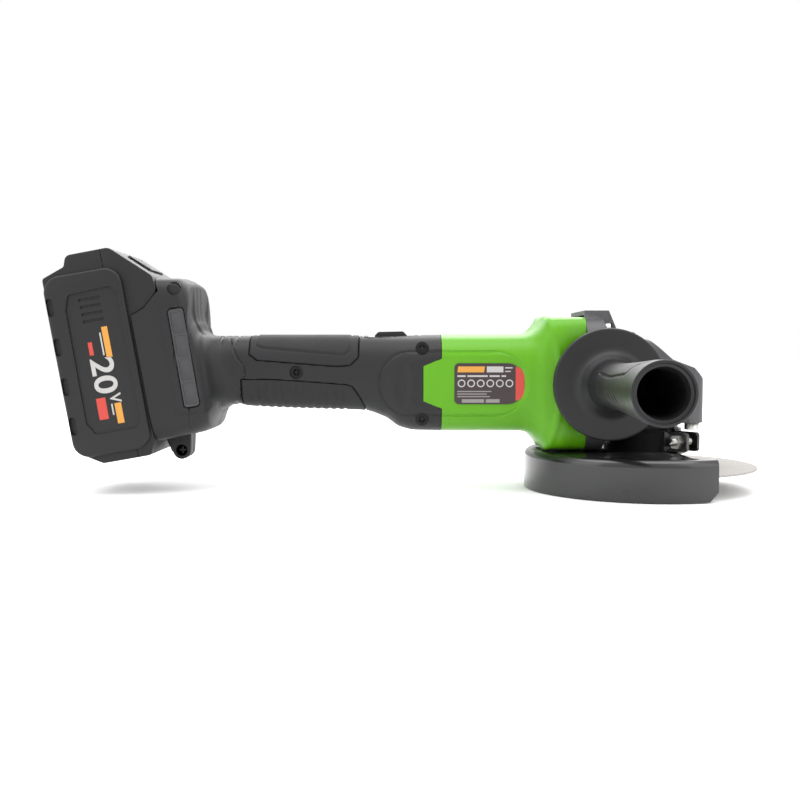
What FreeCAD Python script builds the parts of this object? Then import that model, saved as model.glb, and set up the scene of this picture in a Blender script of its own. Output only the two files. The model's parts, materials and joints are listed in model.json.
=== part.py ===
"""Cordless 125 mm angle grinder, as separate pieces.

Frame: the origin is on the spindle axis at the disc's seat, +X runs towards the gear head's nose,
+Z is up and the side handle points along -Y. All sizes are in millimetres.
"""
import FreeCAD
import Part
import math
import os

Vector = FreeCAD.Vector
X_AXIS = Vector(1, 0, 0)
Y_AXIS = Vector(0, 1, 0)
Z_AXIS = Vector(0, 0, 1)

# ---- Fits and common sheet sizes ----
RUNNING = 0.03          # radial clearance of a shaft in its bearing
BODY_GAP = 0.3          # gap between faces of pieces that move past each other
SLIDE_GAP = 0.4         # gap at each side of a sliding piece
WALL = 2.4              # plastic housing wall
PAD_T = 1.2             # rubber overmould, set into the housing wall

# ---- Disc, flanges and spindle ----
DISC_D = 125.0
DISC_T = 1.2
DISC_BORE_R = 11.115
SPINDLE_THREAD_R = 7.0
SPINDLE_R = 6.0
SPINDLE_TOP_R = 5.0
SPINDLE_SHOULDER_R = 8.5
SPINDLE_END = 11.5      # thread below the disc's seat
FLANGE_R = 20.5
FLANGE_T = 4.8
FLANGE_HUB_T = 1.2
NUT_R = 19.5
NUT_T = 5.4
NUT_PIN_R = 2.2
NUT_PIN_AT = 14.5

# ---- Gear head ----
AXIS_Z = 46.5           # height of the motor shaft above the disc's seat
HEAD_HALF = 28.5        # half width of the square gear case
HEAD_CORNER_R = 10.0
HEAD_RISE = 24.3         # top of the gear case above the motor shaft
HEAD_SLOPE = ((-3.0, 0.0), (9.5, -11.1), (21.5, -15.6), (29.0, -23.0))  # x, and drop from the top
HEAD_BACK = 37.3        # from the spindle axis back to the nose joint
FLANGE_PLATE_T = 10.0
PLATE_HALF_Y = 33.0
PLATE_HALF_Z = 36.5
PLATE_CORNER_R = 16.0
COVER_DROP = 21.4        # from the motor shaft down to the bearing cover's flange
COVER_T = 4.9
COVER_SCREW_AT = 22.0
COVER_SCREW_R = 2.0
COVER_HEAD_R = 3.9
COVER_HEAD_H = 3.9
NECK_R = 19.7
NECK_END_Z = 5.5
LUG_R = 21.2
LUG_T = 1.4
LOW_BEARING_R = 16.0
LOW_BEARING_Z = 12.0
LOW_BEARING_T = 10.0
TOP_BEARING_R = 8.0
TOP_BEARING_RISE = 5.5   # underside of the upper bearing above the motor shaft
TOP_BEARING_T = 6.0
VENT_RISE = 39.9         # top of the vent block above the motor shaft
VENT_HALF_Y = 22.0
VENT_SLOT_W = 2.4
VENT_SLOT_COUNT = 7
CASE_SCREW_R = 2.2
CASE_HEAD_R = 3.6
CASE_HEAD_H = 3.2
CASE_SCREW_Y = 24.5
CASE_SCREW_DZ = 29.5
CASE_SCREW_L = 24.0

# ---- Bevel gears ----
CROWN_TEETH = 37
PINION_TEETH = 11
CROWN_PITCH_R = 20.0
TOOTH_FACE = 5.5
TOOTH_FILL = 0.36       # tooth width at the pitch line as a share of the pitch
TOOTH_ADDENDUM = 0.75   # of the module
TOOTH_DEDENDUM = 1.15   # of the module
CROWN_WEB_T = 5.5
CROWN_HUB_R = 9.0
LOCK_HOLE_AT = 12.0
LOCK_HOLE_COUNT = 4

# ---- Spindle lock ----
LOCK_PIN_R = 1.8
LOCK_WIRE_R = 0.4
LOCK_TURNS = 5
LOCK_TRAVEL = 4.0
LOCK_BUTTON_R = 7.4
LOCK_BUTTON_PROUD = 4.2

# ---- Guard ----
GUARD_AIR = 2.7         # between the disc's rim and the guard's wall
GUARD_T = 1.6
GUARD_TOP_Z = 8.8
GUARD_DEPTH = 21.8
GUARD_HALF_ANGLE = 112.0    # the skirt covers this much each side of straight back
GUARD_BAND_H = 12.1
GUARD_BAND_T = 1.8
GUARD_CHAMFER = 5.0
GUARD_RIM_R = 4.0
GUARD_FRONT_CUT = 12.0      # how far the top sheet is cut back from the front edges
GUARD_LAND = 8.0            # sheet left beside that cut
EAR_ANGLE = -54.5
EAR_APART = 9.0
EAR_T = 2.0
EAR_REACH = 36.0
CLAMP_SCREW_R = 2.0
CLAMP_SCREW_AT = 30.5
CLAMP_NUT_R = 4.0         # across its corners, halved

# ---- Side handle ----
HANDLE_X = -27.1
BOSS_R = 10.0
BOSS_Y = 38.0
HANDLE_THREAD_R = 4.0
HANDLE_THREAD_L = 16.0
HANDLE_L = 115.7
HANDLE_FLANGE_R = 30.0
HANDLE_FLANGE_T = 5.0
HANDLE_NECK_R = 11.8
HANDLE_END_R = 14.3
HANDLE_BORE_R = 10.0
HANDLE_BORE_L = 78.0

# ---- Nose and motor ----
NOSE_L = 78.2
BARREL_HALF_Z = 27.0
BARREL_HALF_Y = 28.0
BARREL_CORNER_R = 18.0
SHOULDER_L = 11.9
SHOULDER_AT = 20.6      # from the nose joint back to the start of the shoulder
TONGUE_L = 10.1
TONGUE_ROOT_H = 13.6
TONGUE_TIP_H = 9.7
SHAFT_R = 4.0
COIL_OVERHANG = 2.2
STATOR_RING_T = 4.6
STATOR_TEETH = 6
TOOTH_W = 5.2
ROTOR_R = 11.8
ROTOR_GAP = 0.7
COIL_T = 2.2
MAGNET_T = 1.8
FRONT_BEARING_R = 13.0
FRONT_BEARING_T = 8.0
BEARING_BOSS_T = 3.2
BEARING_BOSS_L = 16.7
REAR_BEARING_R = 9.5
REAR_BEARING_T = 6.0
END_PLATE_T = 3.0
FAN_R = 22.0
FAN_T = 10.0
FAN_BLADES = 11
BAFFLE_T = 2.0
BAFFLE_HOLE_R = 15.0
PANEL_DEPTH = 1.0
PANEL_HALF_H = 17.5
PLATE_LABEL_T = 0.5
LABEL_L = 38.1
LABEL_H = 22.3
LABEL_FROM_NOSE = 33.2
LABEL_CORNER_R = 4.0
LABEL_MARGIN = 1.5       # panel left bare round the plate's round end
PANEL_BACK = 34.5        # the panel's ends, from the split
PANEL_FRONT = 46.5

# ---- Grip ----
GRIP_L = 120.4          # from the nose split back to the foot
GRIP_TOP = 26.8         # above the shaft's axis
GRIP_HALF_Y = 19.5
GRIP_CORNER_R = 15.5
HOUSING_SCREW_R = 1.9
HOUSING_HEAD_R = 3.6
HOUSING_HEAD_H = 2.6
SCREW_RECESS_R = 3.8
SCREW_SINK = 2.0
POST_STEP_Y = 12.5      # the screw posts are thicker outside this

# ---- Slide switch ----
SWITCH_PAD_L = 18.0
SWITCH_PAD_HALF_Y = 6.5
SWITCH_PROUD = 2.0
SWITCH_TRAVEL = 6.0
SWITCH_FROM_SPLIT = 18.5
SWITCH_PLATE_T = 1.2
SWITCH_OVERLAP = 3.0
LINK_W = 4.0
LINK_L = 20.0
BOARD_T = 1.6
BOARD_HALF_Y = 12.0

# ---- Foot and battery ----
TILT = 10.0            # the battery leans back by this angle
FOOT_HALF_Y = 36.0
BATTERY_HALF_Y = 37.5
BATTERY_BACK = 64.1     # from the foot's neck back to the battery's middle
BATTERY_UP = 11.4       # from the shaft's axis up to the battery's middle
CHEEK_HALF_U = 21.0
CHEEK_HALF_V = 49.0
CHEEK_T = 3.5
CHEEK_R = 9.0
CASE_HALF_V = 47.8
COVER_U = 12.0
COVER_FACE_U = 22.0
RAIL_NECK_HALF_Y = 20.0
RAIL_HALF_Y = 24.0
RAIL_NECK_H = 3.0
RAIL_H = 7.0
RAIL_LOW_V = -42.0
RAIL_TOP_V = 24.0
BATTERY_WALL = 1.9
CELL_R = 9.1
CELL_L = 65.0
CELL_ROWS = 5
CELL_COLUMNS = 2
CELL_PITCH = 18.8
BLADE_T = 0.8
BLADE_COUNT = 4
BLADE_PITCH = 8.0
RELEASE_HALF_Y = 15.0
RELEASE_L = 15.0
RELEASE_TRAVEL = 3.0
RELEASE_PROUD = 1.2
FILTER_TOP = 41.4       # the filter window's ends, from the shaft's axis
FILTER_LOW = -13.1
FILTER_W = 9.4
FILTER_LEAN = 9.5
FILTER_T = 2.0
FILTER_BACK = 18.0       # from the foot's neck back to the window's middle
FILTER_FIT = 0.3
FILTER_SLOTS = 4
FOOT_LUG_R = 5.0

# ---- Places worked out from the sizes above ----
NOSE_X = -HEAD_BACK
SPLIT_X = NOSE_X - NOSE_L
FOOT_X = SPLIT_X - GRIP_L
COVER_Z = AXIS_Z - COVER_DROP
COVER_TOP = COVER_Z + COVER_T
HEAD_TOP = AXIS_Z + HEAD_RISE
TOP_BEARING_Z = AXIS_Z + TOP_BEARING_RISE
VENT_TOP = AXIS_Z + VENT_RISE
DISC_R = DISC_D / 2
GUARD_R = DISC_R + GUARD_AIR + GUARD_T
BATTERY_X = FOOT_X - BATTERY_BACK
BATTERY_Z = AXIS_Z + BATTERY_UP
STATOR_R = BARREL_HALF_Z - WALL - SLIDE_GAP
PARTS = {}


# ---- Plain shapes ----
def box(x0, x1, y0, y1, z0, z1):
    """Block between two corners."""
    return Part.makeBox(x1 - x0, y1 - y0, z1 - z0, Vector(x0, y0, z0))


def rod(radius, start, end):
    """Cylinder between two points."""
    start, end = Vector(*start), Vector(*end)
    return Part.makeCylinder(radius, (end - start).Length, start, end - start)


def ring(outer, inner, start, end):
    """Tube between two points."""
    return rod(outer, start, end).cut(rod(inner, start, end))


def outline(points, plane="xz", at=0.0):
    """Closed polygon in the XZ, XY or YZ plane."""
    place = {
        "xz": lambda a, b: Vector(a, at, b),
        "xy": lambda a, b: Vector(a, b, at),
        "yz": lambda a, b: Vector(at, a, b),
    }[plane]
    corners = [place(a, b) for a, b in points]
    return Part.makePolygon(corners + corners[:1])


def slab(points, low, high, plane="xz", grow=0.0):
    """Outline pushed out along the plane's normal, grown or shrunk by an offset."""
    face = Part.Face(outline(points, plane))
    if grow:
        face = face.makeOffset2D(grow)
    normal = {"xz": Y_AXIS, "xy": Z_AXIS, "yz": X_AXIS}[plane]
    face.translate(normal * low)
    return face.extrude(normal * (high - low))


def edges_along(shape, direction):
    """Straight edges that run along a direction."""
    return [
        edge for edge in shape.Edges
        if isinstance(edge.Curve, Part.Line)
        and abs(edge.Curve.Direction.dot(direction)) > 0.999
    ]


def rounded_block(x0, x1, y0, y1, z0, z1, radius, direction=Z_AXIS):
    """Block whose edges along one direction are rounded."""
    block = box(x0, x1, y0, y1, z0, z1)
    return block.makeFillet(radius, edges_along(block, direction))


def section(x, z_low, z_high, half_y, corner):
    """Rounded rectangle across the tool at one place along it."""
    mid_z = (z_low + z_high) / 2
    flat_y, flat_z = half_y - corner, (z_high - z_low) / 2 - corner
    sides = []
    spot = math.sqrt(0.5) * corner
    for turn, sign_y, sign_z in ((0, 1, 1), (1, -1, 1), (2, -1, -1), (3, 1, -1)):
        centre = (sign_y * flat_y, mid_z + sign_z * flat_z)
        over_y = Vector(x, centre[0] + sign_y * corner, centre[1])
        over_z = Vector(x, centre[0], centre[1] + sign_z * corner)
        bend = Vector(x, centre[0] + sign_y * spot, centre[1] + sign_z * spot)
        ends = (over_y, over_z) if turn % 2 == 0 else (over_z, over_y)
        sides.append((Part.Arc(ends[0], bend, ends[1]).toShape(), ends))
    loop = []
    for index, (arc, ends) in enumerate(sides):
        following = sides[(index + 1) % len(sides)][1][0]
        loop.append(arc)
        loop.append(Part.makeLine(ends[1], following))
    return Part.Wire(loop)


def loft(stations, inset=0.0):
    """Hull through rounded rectangles, shrunk all round by an inset."""
    wires = [
        section(x, low + inset, high - inset, half - inset, max(corner - inset, 1.0))
        for x, low, high, half, corner in stations
    ]
    return Part.makeLoft(wires, True, True)


def keep(name, shape):
    """Adds a finished piece to the model."""
    PARTS[name] = shape.removeSplitter()


def tilted(shape):
    """Moves a shape from the battery's own frame to its place on the tool."""
    shape = shape.copy()
    shape.rotate(Vector(0, 0, 0), Y_AXIS, -TILT)
    shape.translate(Vector(BATTERY_X, 0, BATTERY_Z))
    return shape


def screw(head_at, point_at, shank_r, head_r, head_h):
    """Pan-head screw with a cross recess, its head's underside at head_at."""
    head_at, point_at = Vector(*head_at), Vector(*point_at)
    way = (head_at - point_at).normalize()
    top = head_at + way * head_h
    body = rod(shank_r, point_at, head_at).fuse(rod(head_r, head_at, top))
    side = way.cross(X_AXIS if abs(way.x) < 0.5 else Y_AXIS).normalize()
    other = way.cross(side)
    arm, half_w, depth = head_r * 0.55, head_r * 0.14, head_h * 0.5
    for along, across in ((side, other), (other, side)):
        corners = [
            top + along * a + across * b
            for a, b in ((-arm, -half_w), (arm, -half_w), (arm, half_w), (-arm, half_w))
        ]
        face = Part.Face(Part.makePolygon(corners + corners[:1]))
        body = body.cut(face.extrude(way * -depth))
    return body


# ---- Disc, spindle and gears ----
def cutting_disc():
    return ring(DISC_R, DISC_BORE_R, (0, 0, -DISC_T), (0, 0, 0))


def inner_flange():
    pilot_r = DISC_BORE_R - RUNNING
    body = rod(FLANGE_R, (0, 0, 0), (0, 0, FLANGE_T))
    body = body.fuse(rod(SPINDLE_SHOULDER_R + 1.5, (0, 0, FLANGE_T), (0, 0, FLANGE_T + FLANGE_HUB_T)))
    body = body.fuse(rod(pilot_r, (0, 0, -DISC_T + 0.3), (0, 0, 0)))
    relief = ring(FLANGE_R - 5, DISC_BORE_R + 0.6, (0, 0, 0), (0, 0, 1.0))
    bore = rod(SPINDLE_THREAD_R + RUNNING, (0, 0, -DISC_T), (0, 0, FLANGE_T + FLANGE_HUB_T))
    return body.cut(relief).cut(bore)


def lock_nut():
    top = -DISC_T
    body = rod(NUT_R, (0, 0, top - NUT_T), (0, 0, top))
    body = body.makeChamfer(0.8, [body.Edges[0]])
    body = body.cut(rod(SPINDLE_THREAD_R + RUNNING, (0, 0, top - NUT_T), (0, 0, top)))
    for turn in range(4):
        angle = math.radians(90 * turn + 45)
        spot = (NUT_PIN_AT * math.cos(angle), NUT_PIN_AT * math.sin(angle))
        body = body.cut(rod(NUT_PIN_R, (*spot, top - NUT_T), (*spot, top - NUT_T + 3.5)))
    return body


SHOULDER_Z = FLANGE_T + FLANGE_HUB_T
CROWN_TOP = AXIS_Z - (CROWN_PITCH_R - TOOTH_FACE) * PINION_TEETH / CROWN_TEETH - 1.3
CROWN_LOW = CROWN_TOP - CROWN_WEB_T
CROWN_HUB_LOW = CROWN_LOW - 2.5


def spindle():
    body = rod(SPINDLE_THREAD_R, (0, 0, -SPINDLE_END), (0, 0, SHOULDER_Z))
    body = body.makeChamfer(1.0, [body.Edges[2]])
    body = body.fuse(rod(SPINDLE_SHOULDER_R, (0, 0, SHOULDER_Z), (0, 0, LOW_BEARING_Z - BODY_GAP)))
    body = body.fuse(rod(SPINDLE_R, (0, 0, SHOULDER_Z), (0, 0, TOP_BEARING_Z - BODY_GAP)))
    return body.fuse(rod(SPINDLE_TOP_R, (0, 0, SHOULDER_Z), (0, 0, TOP_BEARING_Z + TOP_BEARING_T)))


def spindle_spacer():
    low = LOW_BEARING_Z + LOW_BEARING_T + BODY_GAP
    return ring(SPINDLE_R + 2.2, SPINDLE_R + RUNNING, (0, 0, low), (0, 0, CROWN_HUB_LOW))


def bearing(bore_r, outer_r, start, end):
    """Ball bearing with a sunk shield on each face."""
    start, end = Vector(*start), Vector(*end)
    body = ring(outer_r, bore_r, start, end)
    way = (end - start).normalize()
    wall = (outer_r - bore_r) * 0.28
    for face, inward in ((start, way), (end, way * -1)):
        body = body.cut(ring(outer_r - wall, bore_r + wall, face, face + inward * 0.5))
    return body


def bevel_gear(teeth, mate_teeth, phase):
    """Straight bevel gear ring on the Z axis, its cone's tip at the origin and opening up the axis.

    Returns the toothed ring and the two cone distances.
    """
    pitch_angle = math.atan2(teeth, mate_teeth)
    module = 2 * CROWN_PITCH_R / CROWN_TEETH
    far = CROWN_PITCH_R / math.sin(math.atan2(CROWN_TEETH, PINION_TEETH))
    near = far - TOOTH_FACE
    rise = math.atan(TOOTH_ADDENDUM * module / far)
    drop = math.atan(TOOTH_DEDENDUM * module / far)
    half_pitch = math.pi * module / far * TOOTH_FILL / 2
    tip_half = half_pitch * 0.45
    root_half = half_pitch * 1.55
    sink = drop * 1.25

    def corner(distance, lift, side):
        polar = pitch_angle + lift
        swing = side / math.sin(pitch_angle) + phase
        return Vector(
            distance * math.sin(polar) * math.cos(swing),
            distance * math.sin(polar) * math.sin(swing),
            distance * math.cos(polar),
        )

    wires = []
    for distance in (near, far):
        points = [
            corner(distance, -sink, -root_half * 1.02),
            corner(distance, rise, -tip_half),
            corner(distance, rise, tip_half),
            corner(distance, -sink, root_half * 1.02),
        ]
        wires.append(Part.makePolygon(points + points[:1]))
    tooth = Part.makeLoft(wires, True, True)
    solids = []
    for index in range(teeth):
        copy = tooth.copy()
        copy.rotate(Vector(0, 0, 0), Z_AXIS, 360.0 * index / teeth)
        solids.append(copy)
    root = pitch_angle - drop
    return solids, root, near, far


def crown_gear():
    """Crown wheel: the teeth's cone opens downwards from the point where the shafts' axes cross."""
    solids, root, near, far = bevel_gear(CROWN_TEETH, PINION_TEETH, math.pi)
    reach = Vector(far * math.sin(root), 0, far * math.cos(root))
    inner = Vector(near * math.sin(root), 0, near * math.cos(root))
    back = AXIS_Z - CROWN_LOW
    profile = [
        (SPINDLE_R + RUNNING, AXIS_Z - CROWN_TOP),
        (inner.x - 0.6, AXIS_Z - CROWN_TOP),
        (inner.x, inner.z),
        (reach.x, reach.z),
        (reach.x, back),
        (CROWN_HUB_R, back),
        (CROWN_HUB_R, AXIS_Z - CROWN_HUB_LOW),
        (SPINDLE_R + RUNNING, AXIS_Z - CROWN_HUB_LOW),
    ]
    body = Part.Face(outline(profile)).revolve(Vector(0, 0, 0), Z_AXIS, 360)
    body = body.fuse(solids)
    body.rotate(Vector(0, 0, 0), X_AXIS, 180)
    body.translate(Vector(0, 0, AXIS_Z))
    for index in range(LOCK_HOLE_COUNT):
        angle = 2 * math.pi * index / LOCK_HOLE_COUNT
        spot = (LOCK_HOLE_AT * math.cos(angle), LOCK_HOLE_AT * math.sin(angle))
        body = body.cut(rod(LOCK_PIN_R + 0.5, (*spot, CROWN_HUB_LOW), (*spot, AXIS_Z)))
    return body


def pinion():
    """Pinion: its cone opens back along the motor shaft. Its teeth stand half a pitch off the crown's."""
    gap_below = math.pi + math.pi / PINION_TEETH
    solids, root, near, far = bevel_gear(PINION_TEETH, CROWN_TEETH, gap_below)
    hub_r = SHAFT_R - 0.6
    profile = [
        (0, near * math.cos(root)),
        (near * math.sin(root), near * math.cos(root)),
        (far * math.sin(root), far * math.cos(root)),
        (far * math.sin(root), far * math.cos(root) + 1.5),
        (hub_r, far * math.cos(root) + 1.5),
        (hub_r, HEAD_BACK - FLANGE_PLATE_T),
        (0, HEAD_BACK - FLANGE_PLATE_T),
    ]
    body = Part.Face(outline(profile)).revolve(Vector(0, 0, 0), Z_AXIS, 360)
    body = body.fuse(solids)
    body.rotate(Vector(0, 0, 0), Y_AXIS, -90)
    body.translate(Vector(0, 0, AXIS_Z))
    return body


# ---- Gear head ----
def head_plan(z0, z1, grow=0.0):
    """Square gear case outline as a block."""
    half = HEAD_HALF + grow
    return rounded_block(-half, half, -half, half, z0, z1, HEAD_CORNER_R + grow)


def plate_block(x0, x1, inset=0.0):
    """Rounded plate that carries the gear case on the nose."""
    half_y, half_z = PLATE_HALF_Y - inset, PLATE_HALF_Z - inset
    return rounded_block(x0, x1, -half_y, half_y, AXIS_Z - half_z, AXIS_Z + half_z,
                         PLATE_CORNER_R - inset, X_AXIS)


def case_screw_spots():
    return [(y, AXIS_Z + z) for y in (-CASE_SCREW_Y, CASE_SCREW_Y)
            for z in (-CASE_SCREW_DZ, CASE_SCREW_DZ)]


def lock_hole():
    """Stepped hole of the spindle lock, from its spring seat up."""
    spring_seat = TOP_BEARING_Z + TOP_BEARING_T + 1.5
    button_seat = HEAD_TOP - LOCK_TRAVEL - 0.9
    pin_r = LOCK_PIN_R + RUNNING
    hole = rod(pin_r, (-LOCK_HOLE_AT, 0, CROWN_TOP), (-LOCK_HOLE_AT, 0, HEAD_TOP))
    hole = hole.fuse(rod(LOCK_PIN_R + 2.6, (-LOCK_HOLE_AT, 0, spring_seat), (-LOCK_HOLE_AT, 0, HEAD_TOP)))
    return hole.fuse(rod(LOCK_BUTTON_R + BODY_GAP, (-LOCK_HOLE_AT, 0, button_seat),
                         (-LOCK_HOLE_AT, 0, VENT_TOP)))


def front_slope():
    """Space above the case's sloping front."""
    points = [(x, HEAD_TOP + drop) for x, drop in HEAD_SLOPE]
    last_x, last_z = points[-1]
    beyond = HEAD_HALF + 20
    return slab(points + [(beyond, last_z), (beyond, HEAD_TOP + 20), (points[0][0], HEAD_TOP + 20)],
                -HEAD_HALF - 5, HEAD_HALF + 5)


def gear_housing():
    plate_front = NOSE_X + FLANGE_PLATE_T
    case = head_plan(COVER_TOP, HEAD_TOP)
    case = case.makeFillet(7.0, [e for e in case.Edges if abs(e.CenterOfMass.z - HEAD_TOP) < 0.01])
    case = case.cut(front_slope())
    body = case.fuse(plate_block(NOSE_X, plate_front))
    vent = slab([(NOSE_X, AXIS_Z), (NOSE_X, VENT_TOP), (NOSE_X + 13.3, VENT_TOP),
                 (NOSE_X + 17.7, HEAD_TOP + 5.2), (NOSE_X + 17.7, AXIS_Z)],
                -VENT_HALF_Y, VENT_HALF_Y)
    body = body.fuse(vent)
    boss = rod(BOSS_R, (HANDLE_X, -BOSS_Y, AXIS_Z), (HANDLE_X, BOSS_Y, AXIS_Z))
    body = body.fuse(boss.common(box(NOSE_X, 0, -BOSS_Y, BOSS_Y, 0, HEAD_TOP)))
    bearing_boss = rod(FRONT_BEARING_R + BEARING_BOSS_T,
                       (NOSE_X - BEARING_BOSS_L, 0, AXIS_Z), (NOSE_X, 0, AXIS_Z))
    body = body.fuse(bearing_boss)
    bearing_front = NOSE_X - BEARING_BOSS_L + FRONT_BEARING_T
    body = body.cut(rod(FRONT_BEARING_R, (NOSE_X - BEARING_BOSS_L, 0, AXIS_Z), (bearing_front, 0, AXIS_Z)))
    body = body.cut(rod(SHAFT_R + 4.0, (bearing_front, 0, AXIS_Z), (0, 0, AXIS_Z)))
    body = body.cut(rod(CROWN_PITCH_R + 2.2, (0, 0, COVER_TOP), (0, 0, TOP_BEARING_Z - 1.0)))
    body = body.cut(rod(TOP_BEARING_R, (0, 0, COVER_TOP), (0, 0, TOP_BEARING_Z + TOP_BEARING_T)))
    pocket = box(NOSE_X, NOSE_X + 11.0, -VENT_HALF_Y + WALL, VENT_HALF_Y - WALL,
                 HEAD_TOP + 1.5, VENT_TOP - WALL)
    body = body.cut(pocket)
    pitch = (2 * VENT_HALF_Y - 2 * WALL) / VENT_SLOT_COUNT
    for index in range(VENT_SLOT_COUNT):
        y = (index - (VENT_SLOT_COUNT - 1) / 2) * pitch
        body = body.cut(box(NOSE_X + 6.0, NOSE_X + 17.7, y - VENT_SLOT_W / 2, y + VENT_SLOT_W / 2,
                            HEAD_TOP + 4.0, VENT_TOP))
    body = body.cut(lock_hole())
    for side in (-1, 1):
        body = body.cut(rod(HANDLE_THREAD_R, (HANDLE_X, side * BOSS_Y, AXIS_Z),
                            (HANDLE_X, side * (BOSS_Y - HANDLE_THREAD_L), AXIS_Z)))
    for y, z in case_screw_spots():
        body = body.cut(rod(CASE_SCREW_R, (NOSE_X, y, z), (plate_front, y, z)))
        head_room = rod(CASE_HEAD_R + 0.6, (plate_front, y, z), (plate_front + CASE_HEAD_H + 2, y, z))
        body = body.cut(head_room)
    for x, y in cover_screw_spots():
        body = body.cut(rod(COVER_SCREW_R, (x, y, COVER_TOP), (x, y, COVER_TOP + 12)))
    return body


def cover_screw_spots():
    return [(x, y) for x in (-COVER_SCREW_AT, COVER_SCREW_AT) for y in (-COVER_SCREW_AT, COVER_SCREW_AT)]


def bearing_cover():
    body = head_plan(COVER_Z, COVER_TOP)
    behind = NOSE_X + FLANGE_PLATE_T
    body = body.cut(box(behind - 20, behind, -60, 60, COVER_Z - 1, COVER_TOP + 1))
    body = body.fuse(rod(NECK_R, (0, 0, NECK_END_Z), (0, 0, COVER_Z)))
    body = body.cut(rod(LOW_BEARING_R, (0, 0, LOW_BEARING_Z), (0, 0, COVER_TOP)))
    body = body.cut(rod(SPINDLE_SHOULDER_R + 3.0, (0, 0, NECK_END_Z), (0, 0, LOW_BEARING_Z)))
    wedge = slab([(0, 0), (30, -8), (30, 8)], NECK_END_Z, NECK_END_Z + LUG_T, "xy")
    lug_ring = ring(LUG_R, NECK_R - 1.0, (0, 0, NECK_END_Z), (0, 0, NECK_END_Z + LUG_T))
    for angle in (90, 210, 330):
        turned = wedge.copy()
        turned.rotate(Vector(0, 0, 0), Z_AXIS, angle)
        body = body.fuse(lug_ring.common(turned))
    for x, y in cover_screw_spots():
        body = body.cut(rod(COVER_SCREW_R, (x, y, COVER_Z), (x, y, COVER_TOP)))
    return body


def cover_screws():
    return Part.makeCompound([
        screw((x, y, COVER_Z), (x, y, COVER_TOP + 11), COVER_SCREW_R, COVER_HEAD_R, COVER_HEAD_H)
        for x, y in cover_screw_spots()])


def gearbox_screws():
    front = NOSE_X + FLANGE_PLATE_T
    return Part.makeCompound([
        screw((front, y, z), (front - CASE_SCREW_L, y, z), CASE_SCREW_R, CASE_HEAD_R, CASE_HEAD_H)
        for y, z in case_screw_spots()])


def bearing_retainer():
    low = LOW_BEARING_Z + LOW_BEARING_T
    return ring(LOW_BEARING_R, LOW_BEARING_R - 4.0, (0, 0, low), (0, 0, low + 1.6))


def spindle_lock_button():
    low = HEAD_TOP - 0.6
    body = rod(LOCK_BUTTON_R, (-LOCK_HOLE_AT, 0, low), (-LOCK_HOLE_AT, 0, HEAD_TOP + LOCK_BUTTON_PROUD))
    return body.makeFillet(1.2, [e for e in body.Edges if e.CenterOfMass.z > HEAD_TOP + 1])


def spindle_lock_pin():
    return rod(LOCK_PIN_R, (-LOCK_HOLE_AT, 0, CROWN_TOP + 1.4), (-LOCK_HOLE_AT, 0, HEAD_TOP - 0.6))


def coil_spring(radius, wire_r, turns, foot, top):
    """Round-wire compression spring along Z between two heights."""
    x, y, low = foot
    helix = Part.makeHelix((top - low) / turns, top - low, radius)
    helix.translate(Vector(x, y, low))
    start = Vector(x + radius, y, low)
    circle = Part.Wire(Part.Circle(start, Y_AXIS, wire_r).toShape())
    return Part.Wire(helix).makePipeShell([circle], True, True)


def lock_spring():
    low = TOP_BEARING_Z + TOP_BEARING_T + 1.5 + 0.5
    return coil_spring(LOCK_PIN_R + 1.2, LOCK_WIRE_R, LOCK_TURNS, (-LOCK_HOLE_AT, 0, low), HEAD_TOP - 0.6 - 0.5)


# ---- Guard ----
def around(shape, angle):
    """Copy turned about the spindle axis."""
    copy = shape.copy()
    copy.rotate(Vector(0, 0, 0), Z_AXIS, angle)
    return copy


def guard_sheet():
    """Pressed sheet of the guard: flat top, rounded rim and wall, open towards the front."""
    top, low = GUARD_TOP_Z, GUARD_TOP_Z - GUARD_DEPTH
    outer = rod(GUARD_R, (0, 0, low), (0, 0, top))
    outer = outer.makeFillet(GUARD_RIM_R, rim_edges(outer, top))
    inner = rod(GUARD_R - GUARD_T, (0, 0, low), (0, 0, top - GUARD_T))
    inner = inner.makeFillet(GUARD_RIM_R - GUARD_T, rim_edges(inner, top - GUARD_T))
    edge_x = -GUARD_R * math.cos(math.radians(GUARD_HALF_ANGLE))
    chamfer = GUARD_CHAMFER
    front = GUARD_R + 5
    window = slab([(edge_x, low), (edge_x - chamfer, low - 1), (front, low - 1), (front, top + 1),
                   (edge_x, top + 1), (edge_x, low + chamfer), (edge_x - chamfer, low)], -front, front)
    return outer.cut(inner).cut(window)


def rim_edges(drum, height):
    """Round edges of a drum at one height."""
    circles = [e for e in drum.Edges if isinstance(e.Curve, Part.Circle)]
    return [e for e in circles if abs(e.CenterOfMass.z - height) < 0.01]


def below_guard_rim():
    """Space that the guard's rolled wall fills, under the rounded rim."""
    reach = GUARD_R + 5
    return box(-reach, reach, -reach, reach, GUARD_TOP_Z - GUARD_DEPTH - 1, GUARD_TOP_Z - GUARD_RIM_R)


def guard_skirt():
    """Rolled wall round the disc, welded under the rim."""
    return guard_sheet().common(below_guard_rim())


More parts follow.
